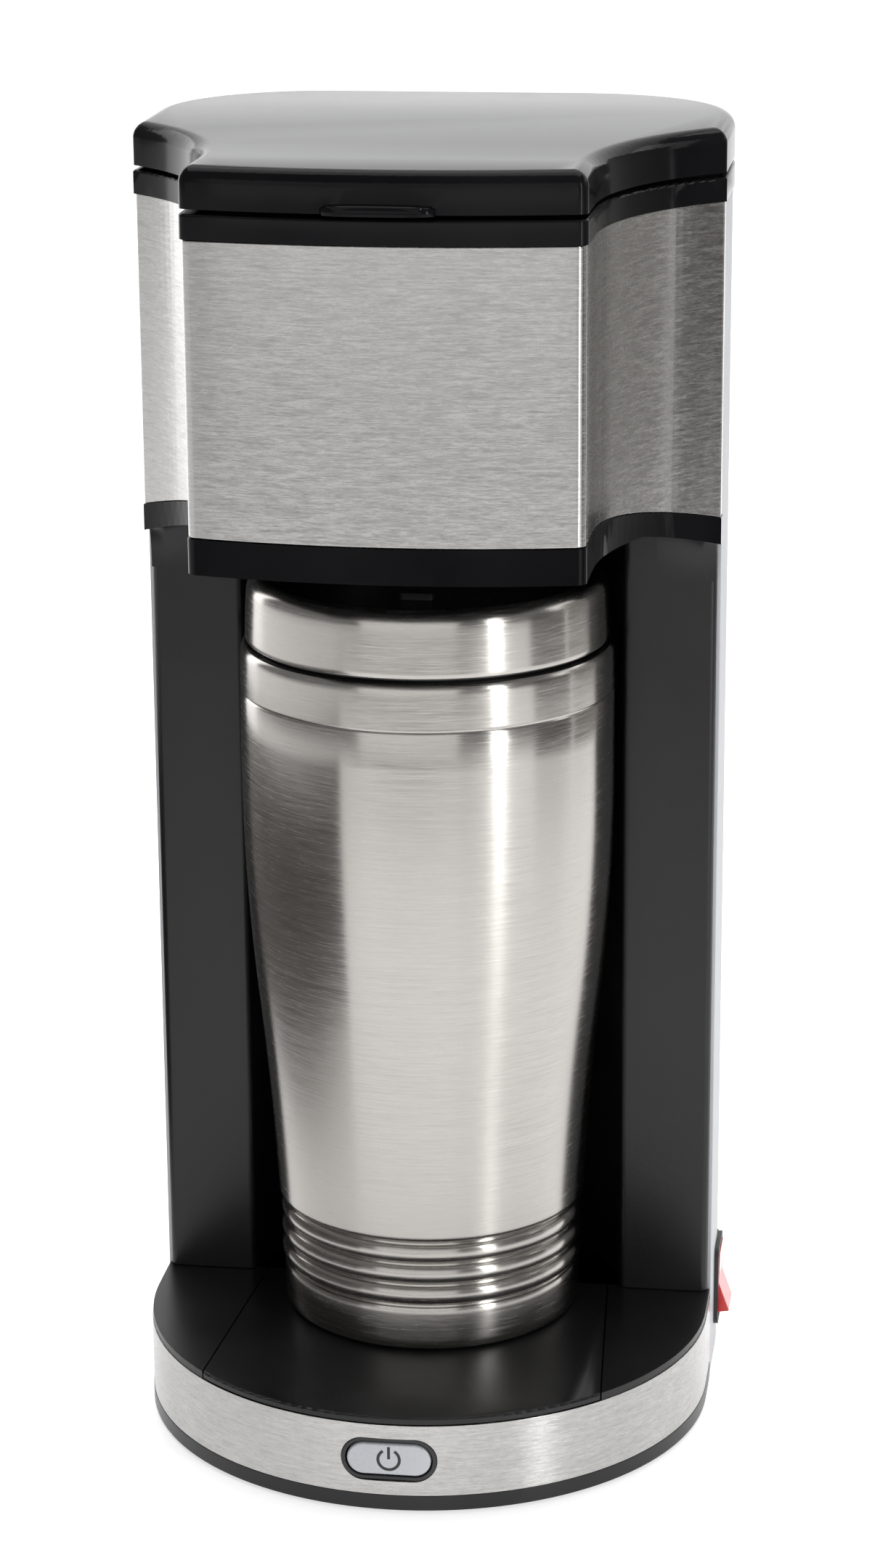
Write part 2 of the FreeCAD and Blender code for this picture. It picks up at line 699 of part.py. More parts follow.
def rear_cover():
    """The grey cover round the sides and the back, from the foot to the collar."""
    loop = ([("half_width", "cover_y")] + back_right("0") + back_left("0")
            + [("-half_width", "cover_y"), ("-(half_width - wall)", "cover_y"),
               ("-(half_width - wall)", "rear_y - rear_corner"),
               ("-(half_width - rear_corner)", "rear_y - wall", "rear_corner - wall", "right"),
               ("half_width - rear_corner", "rear_y - wall"),
               ("half_width - wall", "rear_y - rear_corner", "rear_corner - wall", "right"),
               ("half_width - wall", "cover_y")])
    body = slab("rear_cover", [loop], "foot_lift", PANEL_TOP)
    window = rectangle("rocker_y - rocker_half_wide - 1.4", "rocker_y + rocker_half_wide + 1.4",
                       "rocker_z - rocker_half_tall - 2.3", "rocker_z + rocker_half_tall + 2.3")
    pocket(body, [window], "half_width - 3 * wall", "half_width + 1", axis="x")
    pocket(body, [("gland_x", "gland_z", "gland_r")], "rear_y - wall - 1", "rear_y + 1", axis="y")
    node("rear_cover", body)


def cord_gland():
    """The bush in the back wall where the mains lead would enter."""
    y_low = "rear_y - wall - 2"
    body = slab("cord_gland", [("gland_x", "gland_z", "gland_r")], y_low, "rear_y", axis="y")
    pad(body, [("gland_x", "gland_z", "gland_r + 1.6")], "rear_y", "rear_y + 1.4", axis="y")
    pocket(body, [("gland_x", "gland_z", "gland_bore")], y_low, "rear_y + 1.4", axis="y")
    node("cord_gland", body)


def rocker_switch():
    """The mains switch in the right flank: frame, housing and rocker."""
    opening = ("rocker_y - rocker_half_wide - play", "rocker_y + rocker_half_wide + play",
               "rocker_z - rocker_half_tall - 1.1", "rocker_z + rocker_half_tall + 1.1")
    frame = rounded("(rocker_y - rocker_half_wide - play - rocker_frame - 0.6)",
                    "(rocker_y + rocker_half_wide + play + rocker_frame + 0.6)",
                    "(rocker_z - rocker_half_tall - 1.1 - rocker_frame)",
                    "(rocker_z + rocker_half_tall + 1.1 + rocker_frame)", "2.4")
    bezel = slab("rocker_bezel", [frame], "half_width", "half_width + 1", axis="x")
    pocket(bezel, [rectangle(*opening)], "half_width", "half_width + 1", axis="x")
    node("rocker_bezel", bezel)
    case = rectangle("rocker_y - rocker_half_wide - 1.3", "rocker_y + rocker_half_wide + 1.3",
                     "rocker_z - rocker_half_tall - 2.2", "rocker_z + rocker_half_tall + 2.2")
    housing = slab("rocker_housing", [case], "half_width - 18", "half_width", axis="x")
    pocket(housing, [rectangle(*opening)], "half_width - 8", "half_width", axis="x")
    pocket(housing, [("half_width - rocker_deep", "rocker_z", "rocker_pin + hinge_play")],
           "rocker_y - rocker_half_wide - 1.3", "rocker_y + rocker_half_wide + 1.3", axis="y")
    node("rocker_housing", housing)
    profile = [("3.8", "0"), ("5.2", "rocker_half_tall"), ("0.4", "rocker_half_tall"),
               ("-2.4", "rocker_half_tall / 2"), ("-2.4", "-rocker_half_tall / 2"),
               ("0.4", "-rocker_half_tall"), ("5.2", "-rocker_half_tall")]
    rocker = slab("rocker", [profile], "-rocker_half_wide", "rocker_half_wide", axis="y")
    pad(rocker, [("0", "0", "rocker_pin")], "-rocker_half_wide - 1.1", "rocker_half_wide + 1.1", axis="y")
    rocker.Placement = FreeCAD.Placement(FreeCAD.Vector(), FreeCAD.Rotation(FreeCAD.Vector(0, -1, 0), 1))
    rocker.setExpression("Placement.Rotation.Angle", spec("rocker_tilt"))
    rocker.setExpression("Placement.Base.x", spec("half_width - rocker_deep"))
    rocker.setExpression("Placement.Base.y", spec("rocker_y"))
    rocker.setExpression("Placement.Base.z", spec("rocker_z"))
    doc.recompute()
    node("rocker", rocker)


# ---------------------------------------------------------------- head

def core_corner(edge):
    """True for the front corners of what stands behind the panels."""
    return upright_at((f"corner_x - {CORE}", bow_y(CORE)))(edge)


def head_rim():
    """The black rim and floor of the head, whose ends hang down over the columns."""
    low = f"({HEAD_LOW} - rim_droop)"
    ledge = "cover_y - seam"
    skirt_plan = (front_right("(-rim_proud)")
                  + [("half_width + rim_proud", ledge), ("-(half_width + rim_proud)", ledge)]
                  + front_left("(-rim_proud)"))
    skirt = slab("rim_skirt", [skirt_plan], low, RIM_TOP)
    soften(skirt, "edge_round", upright_at(("corner_x + rim_proud", bow_y("(-rim_proud)"))))
    beyond = "half_width + 2"
    bend = "corner_x + 8"
    under = [(f"-({beyond})", f"{low} - 1"), (beyond, f"{low} - 1"), (beyond, low), (bend, HEAD_LOW),
             (f"-({bend})", HEAD_LOW), (f"-({beyond})", low)]
    pocket(skirt, [under], "front_y - 2", "cover_y", axis="y")
    above = [("corner_x + 0.5", RIM_TOP), (beyond, f"{HEAD_LOW} - 0.4"), (beyond, f"{RIM_TOP} + 1"),
             ("corner_x + 0.5", f"{RIM_TOP} + 1")]
    pocket(skirt, [above, mirrored(above)], "front_y - 2", "cover_y", axis="y")
    pocket(skirt, [rectangle(f"-({beyond})", beyond, "column_y - seam", "cover_y + 1")], f"{low} - 1", HEAD_LOW)
    core = slab("rim_core", [head_core(CORE, BEHIND)], HEAD_LOW, RIM_TOP)
    soften(core, "edge_round - panel_sheet", core_corner)
    whole = fuse("rim_whole", skirt, core)
    hollow = slab("rim_hollow", [head_core(f"({CORE} + wall)", f"({BEHIND} + wall)")],
                  f"{HEAD_LOW} + wall", f"{RIM_TOP} + 1")
    sump_way = rectangle("-(sump_half + 1)", "sump_half + 1", "bay_bow - 20", f"rear_y - {BEHIND} - wall")
    spout_way = ("0", "basket_y", "spout_r + 8")
    ways = slab("rim_ways", [spout_way, sump_way], f"{HEAD_LOW} - 1", f"{HEAD_LOW} + wall + 1")
    riser_way = rod("rim_riser_way", "hose_r + 0.3", ("heater_bow", RISER_Y, f"{HEAD_LOW} - 1"),
                    "wall + 2")
    node("head_rim", cut("head_rim", whole, fuse("rim_voids", hollow, ways, riser_way)))


def front_panel():
    """The bowed steel plate, with its two edges turned back."""
    turn_y = f"{bow_y('0')} + 5"
    sheet_r = "front_bow - panel_sheet"
    inner_x = "(corner_x - panel_sheet)"
    inner_y = bow_y("panel_sheet")
    loop = [("corner_x", bow_y("0"), "front_bow", "left"), ("corner_x", turn_y), (inner_x, turn_y),
            (inner_x, inner_y), ("0", "front_y + panel_sheet", sheet_r, "right"),
            (f"-{inner_x}", inner_y, sheet_r, "right"), (f"-{inner_x}", turn_y), ("-corner_x", turn_y),
            ("-corner_x", bow_y("0")), ("0", "front_y", "front_bow", "left")]
    body = slab("front_panel", [loop], RIM_TOP, PANEL_TOP)
    soften(body, "edge_round", upright_at(("corner_x", bow_y("0"))))
    soften(body, "edge_round - panel_sheet", upright_at((inner_x, inner_y)))
    node("front_panel", body)


def side_panel(side):
    """One swept steel side, cut along a slope at its foot."""
    start = f"{bow_y('0')} + 5 + seam"
    end = "cover_y - seam"
    loop = [("corner_x", start), ("corner_x", "scoop_y"),
            ("half_width", wing_y("0"), "scoop_bow", "right"), ("half_width", end),
            ("half_width - panel_sheet", end), ("half_width - panel_sheet", wing_y("panel_sheet")),
            ("corner_x - panel_sheet", "scoop_y", "scoop_bow + panel_sheet", "left"),
            ("corner_x - panel_sheet", start)]
    slope = [("corner_x - 2", f"{HEAD_LOW} - 1"), ("half_width + 2", f"{HEAD_LOW} - 1"),
             ("half_width + 2", f"{HEAD_LOW} - 0.3"), ("corner_x + 0.5", f"{RIM_TOP} + 0.1"),
             ("corner_x - 2", f"{RIM_TOP} + 0.1")]
    if side == "left":
        loop = mirrored(loop)
        slope = mirrored(slope)
    body = slab(f"side_panel_{side}", [loop], HEAD_LOW, PANEL_TOP)
    soften(body, "panel_sheet", upright_at(("half_width", wing_y("0"))))
    pocket(body, [slope], "front_y", "cover_y", axis="y")
    node(f"side_panel_{side}", body)


def head_frame():
    """The moulded frame behind the panels, which carries the deck."""
    body = slab("head_frame", [head_core(CORE, BEHIND), head_core(f"({CORE} + wall)", f"({BEHIND} + wall)")],
                RIM_TOP, DECK_LOW)
    soften(body, "edge_round - panel_sheet", core_corner)
    node("head_frame", body)


def rear_block(name, inset, front, low, high):
    """A block that fills the rear of the machine behind a front plane, at an inset."""
    flank = f"(half_width - {inset})"
    outline = [(flank, "cover_y")] + back_right(inset) + back_left(inset) + [(f"-{flank}", "cover_y")]
    whole = slab(f"{name}_plan", [outline], low, high)
    behind = box(f"{name}_part", "-half_width", "half_width", front, "rear_y", low, high)
    return common(name, whole, behind)


def top_deck():
    """The deck under the lid, open over the basket and the tank."""
    plate = slab("deck_plate", [head_core(CORE, BEHIND)], DECK_LOW, DECK_TOP)
    soften(plate, "edge_round - panel_sheet", core_corner)
    low = f"({DECK_LOW} - 1)"
    deep = "deck_sheet + 2"
    well_way = rod("deck_well_way", "well_r + 2 * seam", ("0", "basket_y", low), deep)
    riser_way = rod("deck_riser_way", "hose_r + 0.3", ("heater_bow", RISER_Y, low), deep)
    fill_way = rear_block("fill_way", f"({TANK_INSET} + tank_wall + 2)", "tank_y + tank_wall + 2", low,
                          f"({DECK_TOP} + 1)")
    node("top_deck", cut("top_deck", plate, fuse("deck_ways", well_way, riser_way, fill_way)))


def collar():
    """The gloss black ring between the panels and the lid."""
    body = slab("collar", [head_plan("(-collar_proud)"), head_plan("6")], PANEL_TOP, COLLAR_TOP)
    soften(body, "edge_round", upright_at(("corner_x + collar_proud", bow_y("(-collar_proud)"))))
    soften(body, "0.6", lambda edge: level_at(COLLAR_TOP)(edge) and outermost(edge))
    pad(body, [head_core(f"({CORE} + wall / 3)", f"({BEHIND} + seam)"), head_plan("6")], DECK_TOP, PANEL_TOP)
    node("collar", body)


def outermost(edge):
    """True for an edge of the head's own outline rather than of an opening."""
    middle = edge.valueAt((edge.FirstParameter + edge.LastParameter) / 2)
    depth = value("3")
    x = abs(middle.x)
    if middle.y > value("rear_y - rear_corner"):
        reach = math.hypot(max(x - value("half_width - rear_corner"), 0),
                           middle.y - value("rear_y - rear_corner"))
        return reach > value("rear_corner") - depth
    if middle.y > value(wing_y("0")):
        return x > value("half_width") - depth
    if middle.y > value("scoop_y"):
        centre = FreeCAD.Vector(value("corner_x + scoop_bow"), value("scoop_y"), 0)
        return (FreeCAD.Vector(x, middle.y, 0) - centre).Length < value("scoop_bow") + depth
    return x > value("corner_x") - depth or middle.y < value("front_y + front_bow") - math.sqrt(
        value("front_bow - 3") ** 2 - x ** 2)


def eye(low):
    """A hinge eye round the pin, standing on a level."""
    return [(f"{HINGE_Y} - hinge_eye", low), (f"{HINGE_Y} + hinge_eye", low),
            (f"{HINGE_Y} + hinge_eye", HINGE_Z), (HINGE_Y, f"{HINGE_Z} + hinge_eye", "hinge_eye", "left"),
            (f"{HINGE_Y} - hinge_eye", HINGE_Z, "hinge_eye", "left")]


def lid_hinge():
    block = slab("hinge_block", [eye(COLLAR_TOP), (HINGE_Y, HINGE_Z, "hinge_pin + hinge_play / 2")],
                 "-hinge_half", "hinge_half", axis="x")
    node("hinge_block", block)
    reach = "(hinge_half + 2 * play + hinge_ear)"
    node("hinge_pin", rod("hinge_pin", "hinge_pin", (f"-{reach}", HINGE_Y, HINGE_Z), f"2 * {reach}", axis="x"))


def lid():
    """The gloss black lid: a skirted cover that rises slightly to the back."""
    body = slab("lid", [head_plan("(-lid_proud)")], LID_LOW, LID_REAR_TOP)
    corner = ("corner_x + lid_proud", bow_y("(-lid_proud)"))
    soften(body, "edge_round", upright_at(corner))
    soften(body, "panel_sheet", upright_at(("half_width + lid_proud", wing_y("(-lid_proud)"))))
    wedge = [("front_y - 8", LID_FRONT_TOP), ("rear_y + 8", LID_REAR_TOP),
             ("rear_y + 8", f"{LID_REAR_TOP} + 2"), ("front_y - 8", f"{LID_REAR_TOP} + 2")]
    pocket(body, [wedge], "-(half_width + 2)", "half_width + 2", axis="x")
    soften(body, "lid_round", lambda edge: edge.BoundBox.ZMin > value(LID_FRONT_TOP) - 0.1)
    pocket(body, [head_plan("(wall - lid_proud)")], LID_LOW, LID_ROOF)
    gap = "(hinge_half + play)"
    pocket(body, [rectangle(f"-{gap}", gap, f"{HINGE_Y} - hinge_eye - play", "rear_y + 1")], LID_LOW,
           f"{HINGE_Z} + hinge_eye + play")
    swing = "(hinge_back + lid_proud)"
    relief = [(HINGE_Y, f"{HINGE_Z} - {swing}", swing, "right"), (HINGE_Y, f"{LID_LOW} - 1"),
              ("rear_y + 2", f"{LID_LOW} - 1"), ("rear_y + 2", HINGE_Z), (f"{HINGE_Y} + {swing}", HINGE_Z)]
    pocket(body, [relief], "-(half_width + 2)", "half_width + 2", axis="x")
    for sign in ("", "-"):
        near = "(hinge_half + 2 * play)"
        far = f"({near} + hinge_ear)"
        low, high = (near, far) if sign == "" else (f"-{far}", f"-{near}")
        ear = [(f"{HINGE_Y} + hinge_eye", f"{LID_ROOF} + 0.5"), (f"{HINGE_Y} - hinge_eye", f"{LID_ROOF} + 0.5"),
               (f"{HINGE_Y} - hinge_eye", HINGE_Z), (HINGE_Y, f"{HINGE_Z} - hinge_eye", "hinge_eye", "left"),
               (f"{HINGE_Y} + hinge_eye", HINGE_Z, "hinge_eye", "left")]
        pad(body, [ear], low, high, axis="x")
    pocket(body, [(HINGE_Y, HINGE_Z, "hinge_pin + hinge_play")], "-(hinge_half + 6)", "hinge_half + 6", axis="x")
    tab_y = "(front_y - lid_proud - tab_proud)"
    root = "front_y + wall / 2"
    tab = [("tab_half - tab_end", tab_y), ("tab_half", f"{tab_y} + tab_end", "tab_end", "left"),
           ("tab_half", root), ("-tab_half", root), ("-tab_half", f"{tab_y} + tab_end"),
           ("-(tab_half - tab_end)", tab_y, "tab_end", "left")]
    pad(body, [tab], LID_LOW, f"{LID_LOW} + tab_thick")
    node("lid", body)
    liner_low = f"({LID_LOW} + liner_lift)"
    liner_top = f"{liner_low} + liner_sheet"
    liner = slab("lid_liner", [head_plan("(wall - lid_proud)")], liner_low, liner_top)
    behind = rectangle("-(half_width + 1)", "half_width + 1", f"{HINGE_Y} - hinge_eye - 2.5", "rear_y + 1")
    pocket(liner, [behind], liner_low, liner_top)
    node("lid_liner", liner)


# ---------------------------------------------------------------- brewing and water

def basket_well():
    """The fixed cup that holds the filter basket, with the funnel and the spout under it."""
    top = f"({DECK_TOP} + flange_sheet)"
    funnel = f"({HEAD_LOW} + funnel_height)"
    neck = f"({HEAD_LOW} + spout_height)"
    inner = "(well_r - well_wall)"
    bore = "(spout_r - well_wall)"
    cup = [("well_flange", DECK_TOP), ("well_flange", top), (inner, top), (inner, f"{funnel} + seam"),
           ("well_r", f"{funnel} + seam"), ("well_r", DECK_TOP)]
    node("basket_well", turned("basket_well", cup, y="basket_y"))
    cone = [("well_r", funnel), (inner, funnel), (bore, neck), ("spout_r", f"{neck} - well_wall / 2"),
            ("well_r", f"{funnel} - well_wall")]
    node("brew_funnel", turned("brew_funnel", cone, y="basket_y"))
    tip = f"({HEAD_LOW} + 0.5)"
    under = f"{neck} - well_wall / 2 - seam"
    tube = [(bore, tip), ("spout_r", tip), ("spout_r", under), (bore, under)]
    node("brew_spout", turned("brew_spout", tube, y="basket_y"))


def filter_basket():
    """The lift-out basket and the steel filter cup that stands in it."""
    rest = f"({DECK_TOP} + flange_sheet)"
    top = f"({rest} + 1.2)"
    outer = "(well_r - well_wall - 0.6)"
    inner = f"({outer} - basket_wall)"
    low = f"({HEAD_LOW} + 23)"
    steps = [("well_flange - 1.5", rest), ("well_flange - 1.5", top), (inner, top), (inner, f"{low} + 5"),
             ("12", f"{low} + 1.4"), ("4", f"{low} + 1.4"), ("4", low), ("12.4", low), (outer, f"{low} + 4"),
             (outer, rest)]
    node("filter_basket", turned("filter_basket", steps, y="basket_y"))
    cup = f"({inner} - 0.3)"
    sheet_w = "0.6"
    foot = f"({low} + 7)"
    mesh = [(cup, f"{top} - 3"), (cup, f"{top} - 1"), (f"{cup} - {sheet_w}", f"{top} - 1"),
            (f"{cup} - {sheet_w}", f"{top} - 3.2"), (f"22 - {sheet_w}", f"{foot} + {sheet_w}"),
            ("0", f"{foot} + {sheet_w}"), ("0", foot), ("22", foot)]
    node("filter_cup", turned("filter_cup", mesh, y="basket_y"))


def water_tank():
    """The tank: wide under the deck, with a sump that follows the recess."""
    upper = f"({RIM_TOP} - 3)"
    inner = f"({TANK_INSET} + tank_wall)"
    tall = rear_block("tank_outside", TANK_INSET, "tank_y", upper, DECK_LOW)
    sump = sump_block("sump_outside", "0", "sump_z", f"({upper} + 1)")
    hollow = rear_block("tank_inside", inner, "tank_y + tank_wall", f"({upper} + tank_wall)", f"({DECK_LOW} + 1)")
    drain = sump_block("sump_inside", "tank_wall", "sump_z + tank_wall", f"({upper} + tank_wall + 1)")
    outlet = rod("tank_outlet_way", "outlet_r", OUTLET + ("sump_z - 1",), "tank_wall + 2")
    walls = fuse("tank_walls", tall, sump)
    voids = fuse("tank_voids", hollow, drain, outlet)
    node("water_tank", cut("water_tank", walls, voids))


def sump_block(name, inset, low, high):
    """The tank's lower part, between the recess's wall and the back, at an inset."""
    half = f"(sump_half - {inset})"
    bow = f"(sump_bow + {inset})"
    edge = f"sqrt({bow} ^ 2 - {half} ^ 2)"
    outline = [(half, edge, bow, "right"), (half, "rear_y"), (f"-{half}", "rear_y"), (f"-{half}", edge),
               ("0", bow, bow, "right")]
    whole = slab(f"{name}_plan", [outline], low, high)
    back = rear_block(f"{name}_back", f"({TANK_INSET} + {inset})", "0", low, high)
    return common(name, whole, back)


def tank_outlet():
    """The outlet fitting with the non-return valve in it."""
    x, y = OUTLET
    bore = "1.6"
    top = "sump_z + tank_wall + 1.2"
    steps = [(bore, top), (bore, "sump_z - 12"), ("outlet_r", "sump_z - 12"), ("outlet_r", "sump_z - 5"),
             ("outlet_head_r", "sump_z - 5"), ("outlet_head_r", "sump_z"), ("outlet_r", "sump_z"),
             ("outlet_r", "sump_z + tank_wall"), ("outlet_head_r", "sump_z + tank_wall"),
             ("outlet_head_r", top)]
    node("tank_outlet", turned("tank_outlet", steps, x, y))
    node("valve_ball", ball("valve_ball", "1.5", (x, y, "sump_z - 2")))


def ball(name, radius, centre):
    sphere = doc.addObject("Part::Sphere", name)
    sphere.setExpression("Radius", spec(radius))
    for letter, place in zip("xyz", centre):
        sphere.setExpression(f"Placement.Base.{letter}", spec(place))
    return sphere


def water_path():
    """Feed hose, heater tube, riser and the spout over the basket."""
    x, y = OUTLET
    feed = [(x, y, "sump_z - 5.3"), (x, y, "sump_z - 30"), ("-heater_bow", "bay_bow - 12", "sump_z - 55"),
            ("-heater_bow", RISER_Y, "sump_z - 70"), ("-heater_bow", RISER_Y, "heater_z"),
            ("-heater_bow", HEATER_TIP, "heater_z")]
    node("feed_hose", hose("feed_hose", feed, "hose_r", "hose_bore + 0.6", "hose_bend"))
    low = f"({COLLAR_TOP} - 3.7)"
    high = f"({COLLAR_TOP} - 0.3)"
    riser = [("heater_bow", HEATER_TIP, "heater_z"), ("heater_bow", RISER_Y, "heater_z"),
             ("heater_bow", RISER_Y, low)]
    node("riser_hose", hose("riser_hose", riser, "hose_r", "hose_bore", "hose_bend"))
    nozzle_y = "(basket_y + well_r - 9.4)"
    arm = [("heater_bow + 5", f"{RISER_Y} - 5"), ("heater_bow + 5", f"{RISER_Y} + 5"),
           ("-5", f"{RISER_Y} + 5"), ("-5", f"{nozzle_y} - 4"), ("5", f"{nozzle_y} - 4"),
           ("5", f"{RISER_Y} - 5")]
    spout = slab("spray_spout", [arm], low, high)
    pad(spout, [("0", nozzle_y, "3")], f"{low} - 1.4", f"{low} + 0.5")
    node("spray_spout", spout)


def heater():
    """The tubular heater, bent round under the platform."""
    arms = [rod(f"heater_arm_{side}", "heater_r", (x, "heater_y", "heater_z"), "heater_end", axis="y")
            for side, x in (("right", "heater_bow"), ("left", "-heater_bow"))]
    ring = doc.addObject("Part::Torus", "heater_ring")
    ring.setExpression("Radius1", spec("heater_bow"))
    ring.setExpression("Radius2", spec("heater_r"))
    ring.setExpression("Placement.Base.y", spec("heater_y"))
    ring.setExpression("Placement.Base.z", spec("heater_z"))
    front = box("heater_front", "-(heater_bow + 10)", "heater_bow + 10", "heater_y - heater_bow - 10", "heater_y",
                "heater_z - 10", "heater_z + 10")
    bend = common("heater_bend", ring, front)
    node("heater", fuse("heater", bend, *arms))
    saddles = []
    for index, (x, y) in enumerate((("0", "heater_y - heater_bow"), ("-heater_bow", "heater_y"),
                                    ("heater_bow", "heater_y"))):
        saddles.append(box(f"saddle_{index}", f"{x} - saddle_half", f"{x} + saddle_half", f"{y} - saddle_half",
                           f"{y} + saddle_half", FLOOR, "heater_z - heater_r"))
    node("heater_saddles", group("heater_saddles", saddles))
    inner_y = "heater_y - sqrt((heater_bow - heater_r) ^ 2 - thermostat_r ^ 2)"
    node("thermostat", rod("thermostat", "thermostat_r", ("0", inner_y, "heater_z"), "thermostat_r", axis="y"))
    node("thermal_fuse", rod("thermal_fuse", "2", ("-(heater_bow - heater_r - 2.6)", "heater_y - 6", "heater_z"),
                             "10", axis="y"))


# ---------------------------------------------------------------- travel mug

def up(height):
    """A height over the mug's foot."""
    return f"({MUG_FOOT} + {height})"


def mug_body():
    """The outer steel wall: rounded ribs low down, a swelling body and a fine line near the top."""
    steps = [("mug_foot_r - 1.2", up("0")), ("mug_foot_r", up("1.2"), "1.2", "left")]
    groove_r = "(mug_foot_r - 0.7)"
    for number in range(4):
        bottom = f"{10.3 + 5.1 * number:.1f}"
        steps.append(("mug_foot_r + 0.2", up(bottom)))
        steps.append((groove_r, up(f"{bottom} + 0.5")))
        steps.append((groove_r, up(f"{bottom} + 1.1")))
        if number < 3:
            steps.append(("mug_foot_r + 0.2", up(f"{bottom} + 1.6")))
            steps.append(("mug_foot_r + 0.7", up(f"{bottom} + 3.3"), "3.2", "left"))
    swell = ("((mug_top_z - mug_mid_z) ^ 2 + (mug_top_r - mug_mid_r) ^ 2)"
             " / (2 * (mug_top_r - mug_mid_r))")
    steps += [("mug_waist_r - 0.2", up("mug_waist_z + 0.4")),
              ("mug_mid_r", up("mug_mid_z"), "mug_flare", "right"),
              ("mug_top_r", up("mug_top_z"), swell, "left"),
              ("mug_top_r", up("mug_line_z - 0.4")), ("mug_top_r - 0.25", up("mug_line_z")),
              ("mug_top_r", up("mug_line_z + 0.4")),
              ("mug_top_r - 0.2", up("mug_rim_z - 1.2")), ("mug_top_r - 1.1", up("mug_rim_z"), "1.3", "left"),
              ("mug_top_r - 2.2", up("mug_rim_z")), ("mug_top_r - 2.2", up("mug_rim_z - 1.4")),
              ("mug_top_r - mug_sheet", up("mug_rim_z - 3")),
              ("mug_top_r - mug_sheet", up("mug_top_z")),
              ("mug_mid_r - mug_sheet", up("mug_mid_z")), ("mug_foot_r - 1.6", up("mug_waist_z")),
              ("mug_foot_r - 1.6", up("2.2")), ("0", up("2.2")), ("0", up("0"))]
    node("mug_body", turned("mug_body", steps))


def mug_liner():
    """The inner steel wall, which meets the outer one at the rim."""
    skin = "(mug_sheet + mug_gap)"
    thick = "0.7"
    floor_r = "(mug_foot_r - 5)"
    steps = [("0", up("5")), (floor_r, up("5")), ("mug_foot_r - 3", up("9")),
             ("mug_foot_r - 2.4", up("mug_waist_z")),
             (f"mug_mid_r - {skin}", up("mug_mid_z")), (f"mug_top_r - {skin}", up("mug_top_z")),
             (f"mug_top_r - {skin}", up("mug_rim_z - 3.2")),
             ("mug_top_r - 2.2", up("mug_rim_z - 3.2")),
             ("mug_top_r - 2.2", up("mug_rim_z - 0.2")),
             (f"mug_top_r - 2.2 - {thick}", up("mug_rim_z - 0.2")),
             (f"mug_top_r - {skin} - {thick}", up("mug_rim_z - 5")),
             (f"mug_top_r - {skin} - {thick}", up("mug_top_z")),
             (f"mug_mid_r - {skin} - {thick}", up("mug_mid_z")),
             (f"mug_foot_r - 2.4 - {thick}", up("mug_waist_z")),
             (f"mug_foot_r - 3 - {thick}", up("9.3")), (f"{floor_r} - 0.4", up(f"5 + {thick}")),
             ("0", up(f"5 + {thick}"))]
    node("mug_liner", turned("mug_liner", steps))


def mug_lid():
    """The mug's lid: steel skirt, black plug with its sip hole, gasket and slider."""
    under = up("lid_top_z - skirt_sheet")
    skirt = [("skirt_low_r", up("lid_seam_z")), ("skirt_high_r", up("lid_shoulder_z")),
             ("shoulder_r", up("lid_top_z"), "3.2", "left"), ("shoulder_r - skirt_sheet", up("lid_top_z")),
             ("shoulder_r - skirt_sheet", under), ("shoulder_r", under),
             ("skirt_high_r - skirt_sheet", up("lid_shoulder_z"), "2.5", "right"),
             ("skirt_low_r - skirt_sheet", up("lid_seam_z"))]
    node("mug_lid_skirt", turned("mug_lid_skirt", skirt))
    rim = "(skirt_low_r - skirt_sheet - seam)"
    side = "(skirt_high_r - skirt_sheet - 2)"
    dish = "lid_top_z - dish_deep"
    plug = [("plug_r", up("plug_z")), ("plug_r", up("plug_z + 3.6")), ("plug_r - 1.4", up("plug_z + 3.6")),
            ("plug_r - 1.4", up("plug_z + 6.2")), ("plug_r", up("plug_z + 6.2")),
            ("plug_r", up("lid_seam_z - 0.4")), (rim, up("lid_seam_z - 0.4")), (rim, up("lid_seam_z")),
            (side, up("lid_seam_z + 1.6")), (side, up("lid_shoulder_z - 0.2")),
            ("shoulder_r - 0.9", up("lid_top_z - 1")), ("dish_r + 0.8", up("lid_top_z - 1")),
            ("dish_r", up(dish)), ("0", up(dish)), ("0", up(f"{dish} - 2")),
            ("plug_r - 3.2", up(f"{dish} - 2")), ("plug_r - 3.2", up("plug_z"))]
    body = turned("mug_lid_plug", plug)
    hole = pill("0", "sip_y", "2 * sip_half + 4", "2 * sip_half")
    pocket(body, [hole], up("lid_top_z - 7"), up("lid_top_z - 4"))
    node("mug_lid_plug", body)
    gasket = [("plug_r - 1.3", up("plug_z + 3.8")), ("plug_r + 0.6", up("plug_z + 3.8")),
              ("plug_r + 0.6", up("plug_z + 6")), ("plug_r - 1.3", up("plug_z + 6"))]
    node("mug_gasket", turned("mug_gasket", gasket))
    low = up(f"{dish} + play")
    plate = rounded("-slider_half", "slider_half", "(sip_y - sip_half - 1.5)", "(sip_y + sip_half + 8)", "2")
    slider = slab("sip_slider", [plate], low, f"{low} + slider_sheet")
    grip = rounded("-4", "4", "(sip_y + sip_half + 2.5)", "(sip_y + sip_half + 6)", "1.2")
    pad(slider, [grip], f"{low} + slider_sheet / 2", f"{low} + slider_sheet + 1.5")
    node("sip_slider", slider)


# ---------------------------------------------------------------- build and write

bottom_cover()
rubber_feet()
bottom_screws()
base_shell()
base_band()
drip_tray()
power_button()
tower_front()
rear_cover()
cord_gland()
rocker_switch()
head_rim()
front_panel()
side_panel("left")
side_panel("right")
head_frame()
top_deck()
collar()
lid_hinge()
lid()
basket_well()
filter_basket()
water_tank()
tank_outlet()
water_path()
heater()
mug_body()
mug_liner()
mug_lid()

